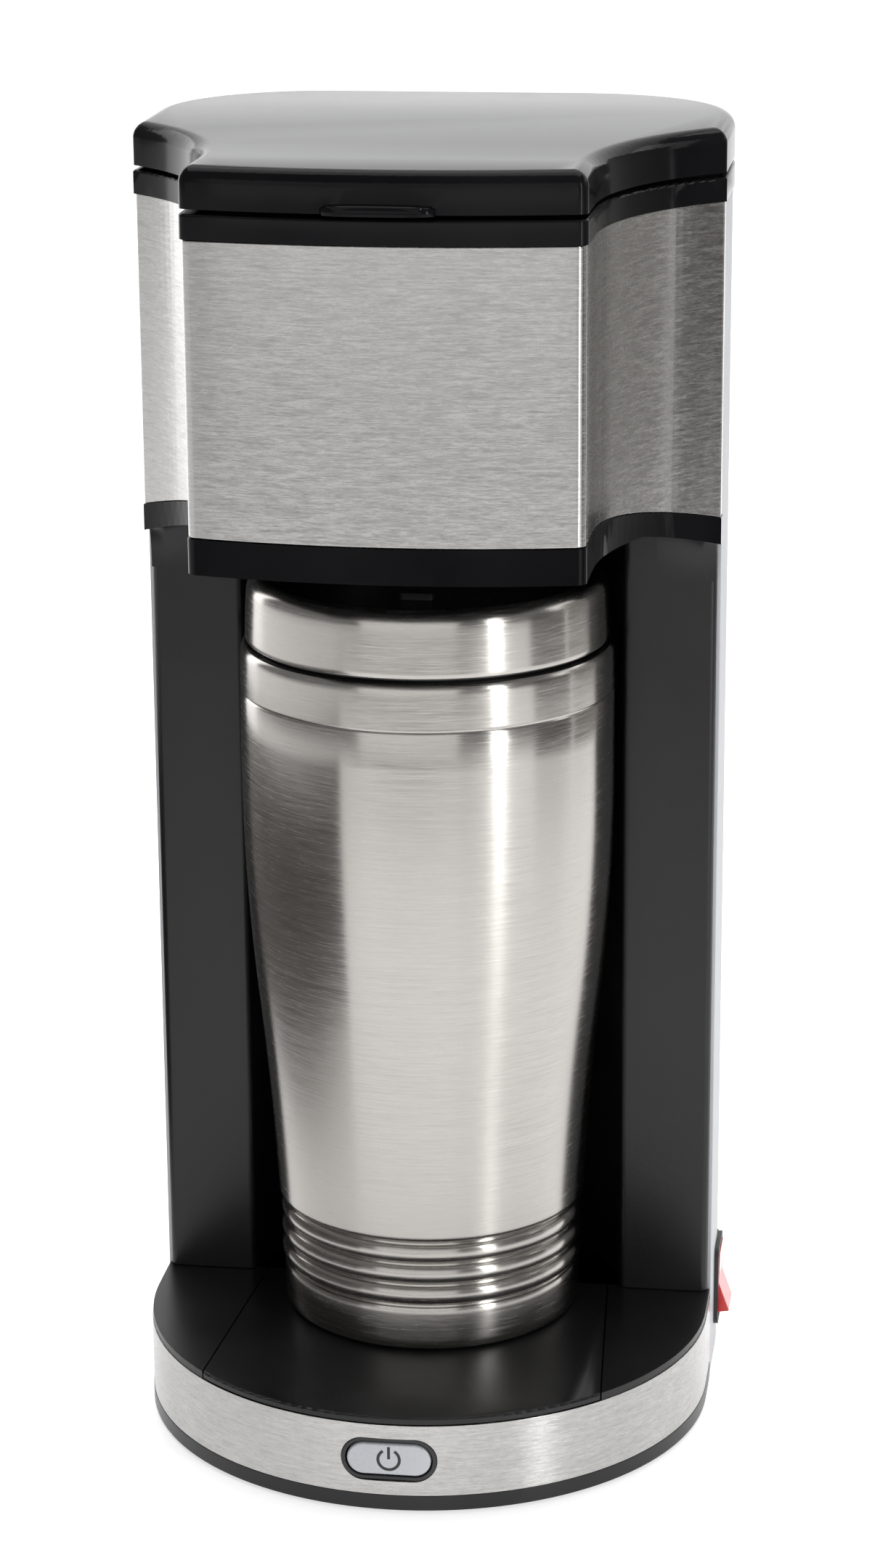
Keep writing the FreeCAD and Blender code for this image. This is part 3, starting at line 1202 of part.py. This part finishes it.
doc.recompute()
faults = [item.Name for item in doc.Objects if {"Invalid", "Error"} & set(item.State)]
faults += [name for name, piece in NODES if piece.Shape.isNull() or not piece.Shape.isValid()]
if faults:
    raise RuntimeError(f"not built: {faults}")

os.makedirs("parts", exist_ok=True)
for name, piece in NODES:
    piece.Shape.exportStep(f"parts/{name}.step")
    print(f"{name}: {len(piece.Shape.Solids)} solid(s), {piece.Shape.Volume / 1000:.2f} cm3")
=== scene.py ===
import json
import math

import bmesh
import bpy
from mathutils import Matrix, Vector

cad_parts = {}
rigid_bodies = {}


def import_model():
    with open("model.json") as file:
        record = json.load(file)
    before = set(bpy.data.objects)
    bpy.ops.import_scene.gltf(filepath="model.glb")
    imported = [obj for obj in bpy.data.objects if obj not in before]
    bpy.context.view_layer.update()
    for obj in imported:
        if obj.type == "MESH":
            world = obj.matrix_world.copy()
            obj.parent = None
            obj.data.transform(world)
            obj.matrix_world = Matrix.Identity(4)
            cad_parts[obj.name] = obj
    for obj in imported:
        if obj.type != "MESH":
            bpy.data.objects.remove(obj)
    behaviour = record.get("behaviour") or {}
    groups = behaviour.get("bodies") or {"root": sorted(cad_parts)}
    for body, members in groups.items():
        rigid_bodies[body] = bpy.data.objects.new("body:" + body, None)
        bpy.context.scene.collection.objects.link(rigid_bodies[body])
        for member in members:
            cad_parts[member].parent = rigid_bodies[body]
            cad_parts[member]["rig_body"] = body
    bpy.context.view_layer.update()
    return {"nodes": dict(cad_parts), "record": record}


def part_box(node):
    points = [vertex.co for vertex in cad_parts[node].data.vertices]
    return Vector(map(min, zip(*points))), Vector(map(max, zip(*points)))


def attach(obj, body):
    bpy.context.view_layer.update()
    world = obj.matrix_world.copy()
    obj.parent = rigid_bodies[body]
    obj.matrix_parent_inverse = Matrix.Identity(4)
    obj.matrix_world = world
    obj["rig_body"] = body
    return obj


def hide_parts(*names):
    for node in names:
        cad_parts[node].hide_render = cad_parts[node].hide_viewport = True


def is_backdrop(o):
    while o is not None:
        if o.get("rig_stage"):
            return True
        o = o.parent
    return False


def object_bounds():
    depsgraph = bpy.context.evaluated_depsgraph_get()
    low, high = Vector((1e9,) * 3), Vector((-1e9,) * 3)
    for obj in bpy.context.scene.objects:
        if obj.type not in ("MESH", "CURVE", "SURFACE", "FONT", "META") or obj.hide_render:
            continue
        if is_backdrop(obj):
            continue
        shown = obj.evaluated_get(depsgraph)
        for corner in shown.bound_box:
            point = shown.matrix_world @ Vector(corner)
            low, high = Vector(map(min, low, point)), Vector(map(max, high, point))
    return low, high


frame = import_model()
NODES = frame["nodes"]
SLOT_OF = {entry["node"]: entry["material_slot"] for entry in frame["record"]["subparts"]}
LOOKS = {}
MM = 0.001
MICRON = 0.000001


# ---------------------------------------------------------------- materials

class Shader:
    """A material's node tree, built one link at a time."""

    def __init__(self, name):
        self.material = bpy.data.materials.new(name)
        self.material.use_nodes = True
        self.nodes = self.material.node_tree.nodes
        self.links = self.material.node_tree.links
        self.surface = self.nodes["Principled BSDF"]
        self.place = self.nodes.new("ShaderNodeTexCoord").outputs["Object"]

    def set(self, **sockets):
        """Fixed numbers on the shader's own sockets."""
        for name, number in sockets.items():
            self.surface.inputs[name.replace("_", " ")].default_value = number

    def noise(self, scale, detail, rough=0.5):
        """Noise whose three scales are cells per metre along X, Y and Z."""
        mapping = self.nodes.new("ShaderNodeMapping")
        mapping.inputs["Scale"].default_value = scale
        self.links.new(self.place, mapping.inputs["Vector"])
        texture = self.nodes.new("ShaderNodeTexNoise")
        texture.inputs["Scale"].default_value = 1.0
        texture.inputs["Detail"].default_value = detail
        texture.inputs["Roughness"].default_value = rough
        self.links.new(mapping.outputs["Vector"], texture.inputs["Vector"])
        return texture.outputs["Fac"]

    def ramp(self, source, low, high, start=0.3, end=0.7):
        """Maps noise from start to end onto numbers from low to high."""
        node = self.nodes.new("ShaderNodeMapRange")
        node.inputs["From Min"].default_value = start
        node.inputs["From Max"].default_value = end
        node.inputs["To Min"].default_value = low
        node.inputs["To Max"].default_value = high
        self.links.new(source, node.inputs["Value"])
        return node.outputs["Result"]

    def tint(self, source, dark, light, start=0.3, end=0.7):
        """Maps noise from start to end onto colours from dark to light."""
        node = self.nodes.new("ShaderNodeValToRGB")
        node.color_ramp.elements[0].position = start
        node.color_ramp.elements[0].color = (*dark, 1)
        node.color_ramp.elements[1].position = end
        node.color_ramp.elements[1].color = (*light, 1)
        self.links.new(source, node.inputs["Fac"])
        return node.outputs["Color"]

    def blend(self, first, second, share):
        """Two noises mixed, with this share of the second."""
        node = self.nodes.new("ShaderNodeMix")
        node.data_type = "FLOAT"
        node.inputs["Factor"].default_value = share
        self.links.new(first, node.inputs["A"])
        self.links.new(second, node.inputs["B"])
        return node.outputs["Result"]

    def plug(self, source, socket):
        """Drives one of the shader's sockets."""
        self.links.new(source, self.surface.inputs[socket])

    def bump(self, source, depth, strength):
        """Fine relief of this depth in metres."""
        node = self.nodes.new("ShaderNodeBump")
        node.inputs["Distance"].default_value = depth
        node.inputs["Strength"].default_value = strength
        self.links.new(source, node.inputs["Height"])
        self.links.new(node.outputs["Normal"], self.surface.inputs["Normal"])

    def grain_round_z(self):
        """Turns the highlight's long side with the grain, which runs level."""
        node = self.nodes.new("ShaderNodeTangent")
        node.direction_type = "RADIAL"
        node.axis = "Z"
        self.links.new(node.outputs["Tangent"], self.surface.inputs["Tangent"])


def brushed(name, dark, light, rough, streak, fine, depth, stretch):
    """Brushed steel with level grain: long soft streaks under short fine ones.

    streak and fine are cells per metre; stretch makes them that much longer than tall.
    """
    below, above = 0.07, 0.09
    shader = Shader(name)
    long_marks = shader.noise((streak, streak, streak * stretch), detail=4.0, rough=0.6)
    short_marks = shader.noise((fine, fine, fine * stretch * 0.6), detail=3.0, rough=0.65)
    marks = shader.blend(long_marks, short_marks, share=0.5)
    shader.plug(shader.tint(marks, dark, light, start=0.36, end=0.64), "Base Color")
    shader.plug(shader.ramp(marks, rough - below, rough + above), "Roughness")
    shader.bump(marks, depth, strength=0.35)
    shader.set(Metallic=1.0, Anisotropic=0.8, Anisotropic_Rotation=0.25)
    shader.grain_round_z()
    LOOKS[name] = shader.material


def moulded(name, dark, light, low, high, grain, depth, metallic=0.0, coat=0.0, shine=0.5,
            through=0.0):
    """A moulded or cast surface: a slow tone and gloss change under a fine grain.

    Its roughness lies from low to high; grain is cells per metre.
    """
    slow_cells = 28
    shader = Shader(name)
    slow = shader.noise((slow_cells, slow_cells, slow_cells), detail=3.0)
    fine = shader.noise((grain, grain, grain), detail=2.0, rough=0.6)
    shader.plug(shader.tint(slow, dark, light, start=0.35, end=0.65), "Base Color")
    shader.plug(shader.ramp(shader.blend(slow, fine, share=0.4), low, high), "Roughness")
    shader.bump(fine, depth, strength=0.5)
    shader.set(Metallic=metallic, Coat_Weight=coat, Coat_Roughness=0.05,
               Specular_IOR_Level=shine, Transmission_Weight=through)
    LOOKS[name] = shader.material


brushed("brushed_panel", (0.39, 0.385, 0.375), (0.59, 0.58, 0.565), rough=0.25,
        streak=150, fine=520, depth=30 * MICRON, stretch=12)
brushed("steel_mug", (0.44, 0.42, 0.395), (0.56, 0.54, 0.51), rough=0.22,
        streak=60, fine=200, depth=10 * MICRON, stretch=40)
moulded("black_gloss", (0.004, 0.004, 0.005), (0.008, 0.008, 0.009), 0.08, 0.15,
        grain=900, depth=4 * MICRON, shine=0.10)
moulded("black_satin", (0.007, 0.007, 0.008), (0.012, 0.012, 0.013), 0.26, 0.38,
        grain=2600, depth=20 * MICRON, shine=0.40)
moulded("silver_plastic", (0.47, 0.48, 0.50), (0.53, 0.54, 0.56), 0.34, 0.46,
        grain=2200, depth=30 * MICRON, metallic=0.35)
moulded("button_silver", (0.46, 0.47, 0.50), (0.53, 0.54, 0.57), 0.22, 0.32,
        grain=1800, depth=10 * MICRON, metallic=0.25, coat=0.2)
moulded("dark_plastic", (0.014, 0.014, 0.016), (0.026, 0.026, 0.028), 0.38, 0.52,
        grain=1800, depth=30 * MICRON)
moulded("red_plastic", (0.70, 0.018, 0.014), (0.86, 0.035, 0.028), 0.10, 0.20,
        grain=700, depth=6 * MICRON, coat=0.4, through=0.15)
moulded("mug_plastic", (0.010, 0.010, 0.011), (0.020, 0.020, 0.021), 0.24, 0.36,
        grain=1500, depth=20 * MICRON)
moulded("rubber", (0.014, 0.014, 0.014), (0.026, 0.026, 0.026), 0.62, 0.80,
        grain=1600, depth=60 * MICRON)
moulded("tank_plastic", (0.55, 0.58, 0.60), (0.66, 0.69, 0.71), 0.16, 0.30,
        grain=500, depth=20 * MICRON, through=0.6)
moulded("silicone", (0.62, 0.62, 0.59), (0.74, 0.74, 0.71), 0.42, 0.58,
        grain=900, depth=30 * MICRON, through=0.25)
brushed("filter_gold", (0.52, 0.37, 0.12), (0.83, 0.63, 0.28), rough=0.34,
        streak=90, fine=900, depth=60 * MICRON, stretch=1.0)
moulded("heater_metal", (0.44, 0.44, 0.45), (0.60, 0.60, 0.61), 0.36, 0.55,
        grain=600, depth=100 * MICRON, metallic=0.9)
moulded("screw_steel", (0.52, 0.52, 0.53), (0.64, 0.64, 0.65), 0.18, 0.30,
        grain=800, depth=10 * MICRON, metallic=1.0)
moulded("board_green", (0.012, 0.09, 0.035), (0.03, 0.16, 0.07), 0.30, 0.45,
        grain=700, depth=30 * MICRON)
moulded("stage_dark", (0.085, 0.080, 0.075), (0.105, 0.10, 0.095), 0.7, 0.9,
        grain=40, depth=100 * MICRON)
moulded("stage_grey", (0.27, 0.262, 0.25), (0.31, 0.302, 0.29), 0.7, 0.9,
        grain=40, depth=100 * MICRON)
moulded("fuse_ceramic", (0.74, 0.73, 0.69), (0.84, 0.83, 0.80), 0.45, 0.60,
        grain=900, depth=30 * MICRON)

for node, thing in NODES.items():
    thing.data.materials.clear()
    thing.data.materials.append(LOOKS[SLOT_OF[node]])


# ---------------------------------------------------------------- mesh helpers

def placed(name, data):
    """A new object in the scene."""
    thing = bpy.data.objects.new(name, data)
    bpy.context.scene.collection.objects.link(thing)
    return thing


def new_piece(name, mesh, look, body, *replaced):
    """A visual piece that moves with a body and may stand for CAD nodes."""
    piece = placed(name, mesh)
    mesh.materials.clear()
    mesh.materials.append(LOOKS[look])
    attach(piece, body)
    if replaced:
        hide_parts(*replaced)
    return piece


def finish_mesh(made, name, sharp=35.0):
    """Writes a bmesh as a mesh whose edges stay crisp past an angle in degrees."""
    bmesh.ops.recalc_face_normals(made, faces=made.faces)
    mesh = bpy.data.meshes.new(name)
    made.to_mesh(mesh)
    made.free()
    mesh.shade_smooth()
    mesh.set_sharp_from_angle(angle=math.radians(sharp))
    return mesh


def edge_bevel(piece, width, segments):
    """Rounds every crisp edge a little, so that it catches the light."""
    crisp = 35.0
    bevel = piece.modifiers.new("edges", "BEVEL")
    bevel.width = width
    bevel.segments = segments
    bevel.limit_method = "ANGLE"
    bevel.angle_limit = math.radians(crisp)
    bevel.harden_normals = True
    bevel.use_clamp_overlap = True


def eased(node, width, segments):
    """A copy of a CAD node with its crisp edges rounded, which stands for the node."""
    same_point, flat_turn = 2 * MICRON, 0.3
    source = NODES[node]
    made = bmesh.new()
    made.from_mesh(source.data)
    bmesh.ops.remove_doubles(made, verts=made.verts, dist=same_point)
    bmesh.ops.dissolve_limit(made, angle_limit=math.radians(flat_turn), verts=made.verts,
                             edges=made.edges)
    mesh = finish_mesh(made, f"{node}_eased", sharp=30.0)
    piece = new_piece(f"{node}_eased", mesh, SLOT_OF[node], source["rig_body"], node)
    edge_bevel(piece, width, segments)


def skin(made, rows):
    """Joins closed sections, one after the other, and closes both ends."""
    count = len(rows[0])
    for before, after in zip(rows, rows[1:]):
        for k in range(count):
            n = (k + 1) % count
            made.faces.new((before[k], before[n], after[n], after[k]))
    made.faces.new(rows[0])
    made.faces.new(list(reversed(rows[-1])))


def lathe(name, profile, base, look, body, replaced):
    """A piece turned round Z from (radius, height) points in mm over a base height."""
    turns = 192
    made = bmesh.new()
    rings = []
    for radius, height in profile:
        r, z = radius * MM, base + height * MM
        if radius == 0:
            rings.append([made.verts.new((0, 0, z))])
            continue
        rings.append([made.verts.new((r * math.cos(2 * math.pi * k / turns),
                                      r * math.sin(2 * math.pi * k / turns), z))
                      for k in range(turns)])
    for low, high in zip(rings, rings[1:]):
        for k in range(turns):
            n = (k + 1) % turns
            corners = [low[k % len(low)], low[n % len(low)],
                       high[n % len(high)], high[k % len(high)]]
            unique = list(dict.fromkeys(corners))
            if len(unique) > 2:
                made.faces.new(unique)
    new_piece(name, finish_mesh(made, name), look, body, replaced)


def bow(start, end, bulge, steps):
    """Points of a parabola from start to end, pushed to the right of the way by bulge."""
    (x0, y0), (x1, y1) = start, end
    length = math.hypot(x1 - x0, y1 - y0)
    across = ((y1 - y0) / length, -(x1 - x0) / length)
    points = []
    for k in range(1, steps + 1):
        t = k / steps
        push = 4 * bulge * t * (1 - t)
        points.append((x0 + (x1 - x0) * t + across[0] * push,
                       y0 + (y1 - y0) * t + across[1] * push))
    return points


# ---------------------------------------------------------------- travel mug

# The foot, four grooves with swelling rings between them, the waisted wall, the rolled
# neck, then the inside back down to the floor.
GROOVES = (10.3, 15.4, 20.5, 25.6)
profile = [(0, 2.2), (30.5, 2.2), (31.6, 0.5), (33.2, 0.05), (34.0, 0.25), (34.5, 0.9)]
profile += bow((34.55, 1.6), (34.7, 9.9), 0.12, 8)
for low in GROOVES:
    profile += [(34.45, low + 0.10), (33.98, low + 0.28), (33.85, low + 0.6),
                (33.98, low + 0.95), (34.5, low + 1.15)]
    if low != GROOVES[-1]:
        profile += bow((34.72, low + 1.3), (34.72, low + 5.0), 0.62, 12)
profile += bow((34.9, 26.9), (35.8, 28.6), 0.28, 6)
profile += bow((35.8, 28.6), (39.35, 74.0), -0.30, 18)
profile += bow((39.35, 74.0), (42.5, 131.0), 0.78, 22)
profile += [(42.5, 140.0), (42.5, 148.7), (42.38, 148.95), (42.2, 149.25), (42.28, 149.6),
            (42.48, 149.85), (42.44, 152.0), (42.32, 157.4), (42.22, 158.4), (41.95, 159.2),
            (41.5, 159.7), (41.0, 159.8), (40.4, 159.7), (40.3, 158.6), (41.3, 156.4),
            (41.5, 131.0), (38.2, 74.0), (32.9, 26.0), (32.7, 3.2), (0, 3.0)]
lathe("mug_outer", profile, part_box("mug_body")[0].z, "steel_mug", "mug", "mug_body")

skirt = [(40.55, 0.15), (40.75, 0.0), (41.05, 0.05), (41.22, 0.35), (41.2, 1.2)]
skirt += bow((41.2, 1.2), (40.75, 11.0), 0.04, 6)
skirt += [(40.6, 11.9), (40.33, 12.7), (39.9, 13.4), (39.3, 13.95), (38.6, 14.3),
          (37.9, 14.47), (37.3, 14.5), (36.95, 14.4), (36.9, 14.0), (37.6, 13.8),
          (38.9, 13.3), (39.7, 12.3), (39.95, 11.0), (40.45, 1.0), (40.55, 0.15)]
lathe("mug_lid_band", skirt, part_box("mug_lid_skirt")[0].z, "steel_mug", "mug_lid",
      "mug_lid_skirt")


# ---------------------------------------------------------------- soft edges

for node, width_mm, segments in (
        ("collar", 0.6, 3), ("lid", 0.5, 3), ("head_rim", 1.3, 4), ("tower_front", 0.6, 3),
        ("base_shell", 0.5, 3), ("drip_tray", 0.3, 2), ("bottom_cover", 0.6, 3),
        ("rear_cover", 0.4, 2), ("rocker", 0.4, 3), ("rocker_bezel", 0.3, 2),
        ("button_bezel", 0.2, 2), ("hinge_block", 0.4, 2), ("base_band", 0.25, 2),
        ("front_panel", 0.5, 3), ("side_panel_left", 0.5, 3), ("side_panel_right", 0.5, 3),
        ("power_button", 0.2, 2), ("cord_gland", 0.3, 2), ("sip_slider", 0.3, 2)):
    eased(node, width_mm * MM, segments)


# ---------------------------------------------------------------- coves over the columns

def column_cove(name, side):
    """The hollow flare that leads from a column's face to the hanging end of the rim.

    side is 1 for the right column and -1 for the left one.
    """
    column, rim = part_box("tower_front"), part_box("head_rim")
    face = column[0].y
    hang, roof = rim[0].z, column[1].z
    outer = column[1].x - 0.1 * MM
    inner = outer - 13.5 * MM
    foot_z = hang - 9 * MM
    reach = 5.2 * MM
    rim_bend, rim_run = 50 * MM, 17.5 * MM
    sweep_x, sweep_y, sweep_r = 110 * MM, -46.4 * MM, 68 * MM
    across, full_reach, upward = 24, 12, 12
    sunk, buried, under = 0.02 * MM, 0.3 * MM, 0.6 * MM
    made = bmesh.new()
    rows = []
    for k in range(across + 1):
        x = inner + (outer - inner) * k / across
        top = roof - (roof - hang) * max(0.0, (x - rim_bend) / rim_run)
        rim_y = sweep_y + math.sqrt(sweep_r ** 2 - (sweep_x - x) ** 2) + 0.5 * MM
        swell = math.sin(math.pi * min(1.0, 0.25 + 0.75 * k / full_reach) / 2)
        lip_y = max(rim_y, face - reach * swell)
        section = []
        for step in range(upward + 1):
            t = step / upward
            y = (1 - t * t) * face + t * t * lip_y
            z = (1 - t) ** 2 * foot_z + 2 * t * (1 - t) * (top - under) + t * t * top
            section.append((y - sunk, z))
        section += [(face + buried, top), (face + buried, foot_z)]
        rows.append([made.verts.new((side * x, y, z)) for y, z in section])
    skin(made, rows)
    new_piece(name, finish_mesh(made, name, sharp=50.0), "black_satin", "machine")


column_cove("column_cove_right", 1)
column_cove("column_cove_left", -1)


# ---------------------------------------------------------------- the lid's finger tab

def finger_tab():
    """The tab's rounded skin: a shallow crescent with a soft upper edge."""
    lid_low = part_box("lid")[0]
    half, proud, tall, steps = 11.9 * MM, 3.1 * MM, 2.15 * MM, 40
    root = lid_low.y + 2.8 * MM
    buried, undercut, below, soft = 0.6 * MM, 0.25 * MM, 0.05 * MM, 0.9 * MM
    made = bmesh.new()
    rows = []
    for k in range(steps + 1):
        x = half * math.sin(math.pi * (k / steps - 0.5))
        share = math.sqrt(max(1 - (abs(x) / half) ** 4, 0.0004))
        nose = root - proud * share
        base, top = lid_low.z - below, lid_low.z + tall * (0.55 + 0.45 * share)
        reach, rise = min(soft, proud * share), (top - base) * 0.7
        section = [(root + buried, base), (nose + undercut, base)]
        for degrees in range(0, 91, 15):
            turn = math.radians(degrees)
            section.append((nose + reach * (1 - math.cos(turn)),
                            top - rise + rise * math.sin(turn)))
        section.append((root + buried, top))
        rows.append([made.verts.new((x, y, z)) for y, z in section])
    skin(made, rows)
    new_piece("finger_tab", finish_mesh(made, "finger_tab", sharp=40.0), "black_gloss", "lid")


finger_tab()


# ---------------------------------------------------------------- power sign on the button

def power_sign():
    """An open ring with an upright bar, inlaid in the button's face."""
    low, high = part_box("power_button")
    face = low.y
    centre_x, centre_z = (low.x + high.x) / 2, (low.z + high.z) / 2
    proud, sunk = 0.05 * MM, 0.3 * MM
    inner, outer, gap, steps = 2.05 * MM, 2.75 * MM, 32.0, 48
    half, bottom, top = 0.33 * MM, 0.1 * MM, 3.1 * MM
    made = bmesh.new()
    rows = []
    for k in range(steps + 1):
        turn = math.radians(90 + gap + (360 - 2 * gap) * k / steps)
        across, up = math.cos(turn), math.sin(turn)
        section = ((inner, -proud), (outer, -proud), (outer, sunk), (inner, sunk))
        rows.append([made.verts.new((centre_x + across * radius, face + depth,
                                     centre_z + up * radius)) for radius, depth in section])
    skin(made, rows)
    corners = [(-half, bottom), (half, bottom), (half, top), (-half, top)]
    skin(made, [[made.verts.new((centre_x + x, face + depth, centre_z + z))
                 for x, z in corners] for depth in (-proud, sunk)])
    piece = new_piece("power_sign", finish_mesh(made, "power_sign"), "dark_plastic", "button")
    edge_bevel(piece, 0.06 * MM, 2)


power_sign()


# ---------------------------------------------------------------- stage

def staged_floor():
    """A pale floor that bends up into a back wall, as a roll of paper does."""
    wide, front, deep, rise, bend = 4.0, -7.0, 1.6, 2.6, 0.5
    section = [(front, 0.0)]
    for degrees in range(0, 91, 6):
        turn = math.radians(degrees)
        section.append((deep + bend * math.sin(turn), bend - bend * math.cos(turn)))
    section.append((deep + bend, rise))
    made = bmesh.new()
    rows = [[made.verts.new((x, y, z)) for x in (-wide, wide)] for y, z in section]
    for before, after in zip(rows, rows[1:]):
        made.faces.new((before[0], before[1], after[1], after[0]))
    mesh = finish_mesh(made, "floor", sharp=60.0)
    floor = placed("floor", mesh)
    shader = Shader("floor_white")
    slow = shader.noise((3, 3, 3), detail=2.0)
    shader.plug(shader.tint(slow, (0.86, 0.86, 0.87), (0.90, 0.90, 0.91)), "Base Color")
    shader.plug(shader.ramp(slow, 0.30, 0.40), "Roughness")
    shader.set(Emission_Color=(1, 1, 1, 1), Emission_Strength=0.62)
    mesh.materials.append(shader.material)
    floor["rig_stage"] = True


def card(name, corners, look):
    """A card beside the object, seen only in reflections."""
    made = bmesh.new()
    made.faces.new([made.verts.new(point) for point in corners])
    thing = placed(name, finish_mesh(made, name))
    thing.data.materials.append(LOOKS[look])
    thing.visible_camera = False
    thing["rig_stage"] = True


def upright_card(name, start, end, low, high, look):
    """A card that stands from start to end, between two heights."""
    card(name, [(*start, low), (*end, low), (*end, high), (*start, high)], look)


def lying_card(name, start, end, height, look):
    """A level card between two opposite corners."""
    card(name, [(start[0], start[1], height), (end[0], start[1], height),
                (end[0], end[1], height), (start[0], end[1], height)], look)


def softbox(name, place, aim, size, power):
    """A soft light at a place, turned to its aim."""
    light = bpy.data.lights.new(name, "AREA")
    light.shape = "RECTANGLE"
    light.size, light.size_y = size
    light.energy = power
    lamp = placed(name, light)
    lamp.location = place
    lamp.rotation_mode = "QUATERNION"
    lamp.rotation_quaternion = (Vector(aim) - Vector(place)).to_track_quat("-Z", "Y")


staged_floor()
upright_card("low_flag_left", (-0.155, -0.17), (-0.22, 0.26), 0.001, 0.125, "stage_dark")
upright_card("flag_right", (0.52, -0.16), (0.50, 0.10), 0.05, 0.32, "stage_dark")
upright_card("flag_right_rear", (0.50, 0.11), (0.34, 0.50), 0.05, 0.42, "stage_grey")
lying_card("front_cloth", (-0.75, -1.25), (0.75, -0.62), 0.003, "stage_grey")

world = bpy.data.worlds.new("studio")
world.use_nodes = True
background = world.node_tree.nodes["Background"]
background.inputs["Color"].default_value = (1, 1, 1, 1)
background.inputs["Strength"].default_value = 0.22
bpy.context.scene.world = world
bpy.context.scene.view_settings.view_transform = "Standard"

softbox("overhead", (0.0, 0.30, 1.35), aim=(0, 0.1, 0.0), size=(1.5, 1.0), power=10)
softbox("key_right", (0.95, -0.78, 0.42), aim=(0, 0, 0.15), size=(0.14, 0.85), power=3.6)
softbox("front_wall", (-0.10, -1.60, 0.55), aim=(0, 0, 0.12), size=(1.9, 0.9), power=4.4)
softbox("side_right", (1.10, 0.45, 0.45), aim=(0, 0, 0.15), size=(0.7, 0.9), power=2.6)
softbox("back_left", (-1.0, 0.85, 0.5), aim=(0, 0, 0.15), size=(0.7, 0.9), power=2.5)


# ---------------------------------------------------------------- camera, as in the photograph

YAW, PITCH, ROLL = (math.radians(angle) for angle in (8.048, 16.566, -0.367))
CAMERA_PLACE = (0.12283, -0.8434, 0.40214)
SENSOR_MM, FOCAL_MM = 36.0, 89.34
lens = bpy.data.cameras.new("camera")
lens.sensor_fit = "AUTO"
lens.sensor_width = SENSOR_MM
lens.lens = FOCAL_MM
lens.clip_start, lens.clip_end = 0.05, 20.0
camera = placed("camera", lens)
camera.location = CAMERA_PLACE
forward = Vector((-math.sin(YAW) * math.cos(PITCH), math.cos(YAW) * math.cos(PITCH),
                  -math.sin(PITCH)))
level = Vector((math.cos(YAW), math.sin(YAW), 0))
upward = level.cross(forward)
right = level * math.cos(ROLL) + upward * math.sin(ROLL)
up = upward * math.cos(ROLL) - level * math.sin(ROLL)
camera.rotation_mode = "QUATERNION"
camera.rotation_quaternion = Matrix((right, up, -forward)).transposed().to_quaternion()
bpy.context.scene.camera = camera

low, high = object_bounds()
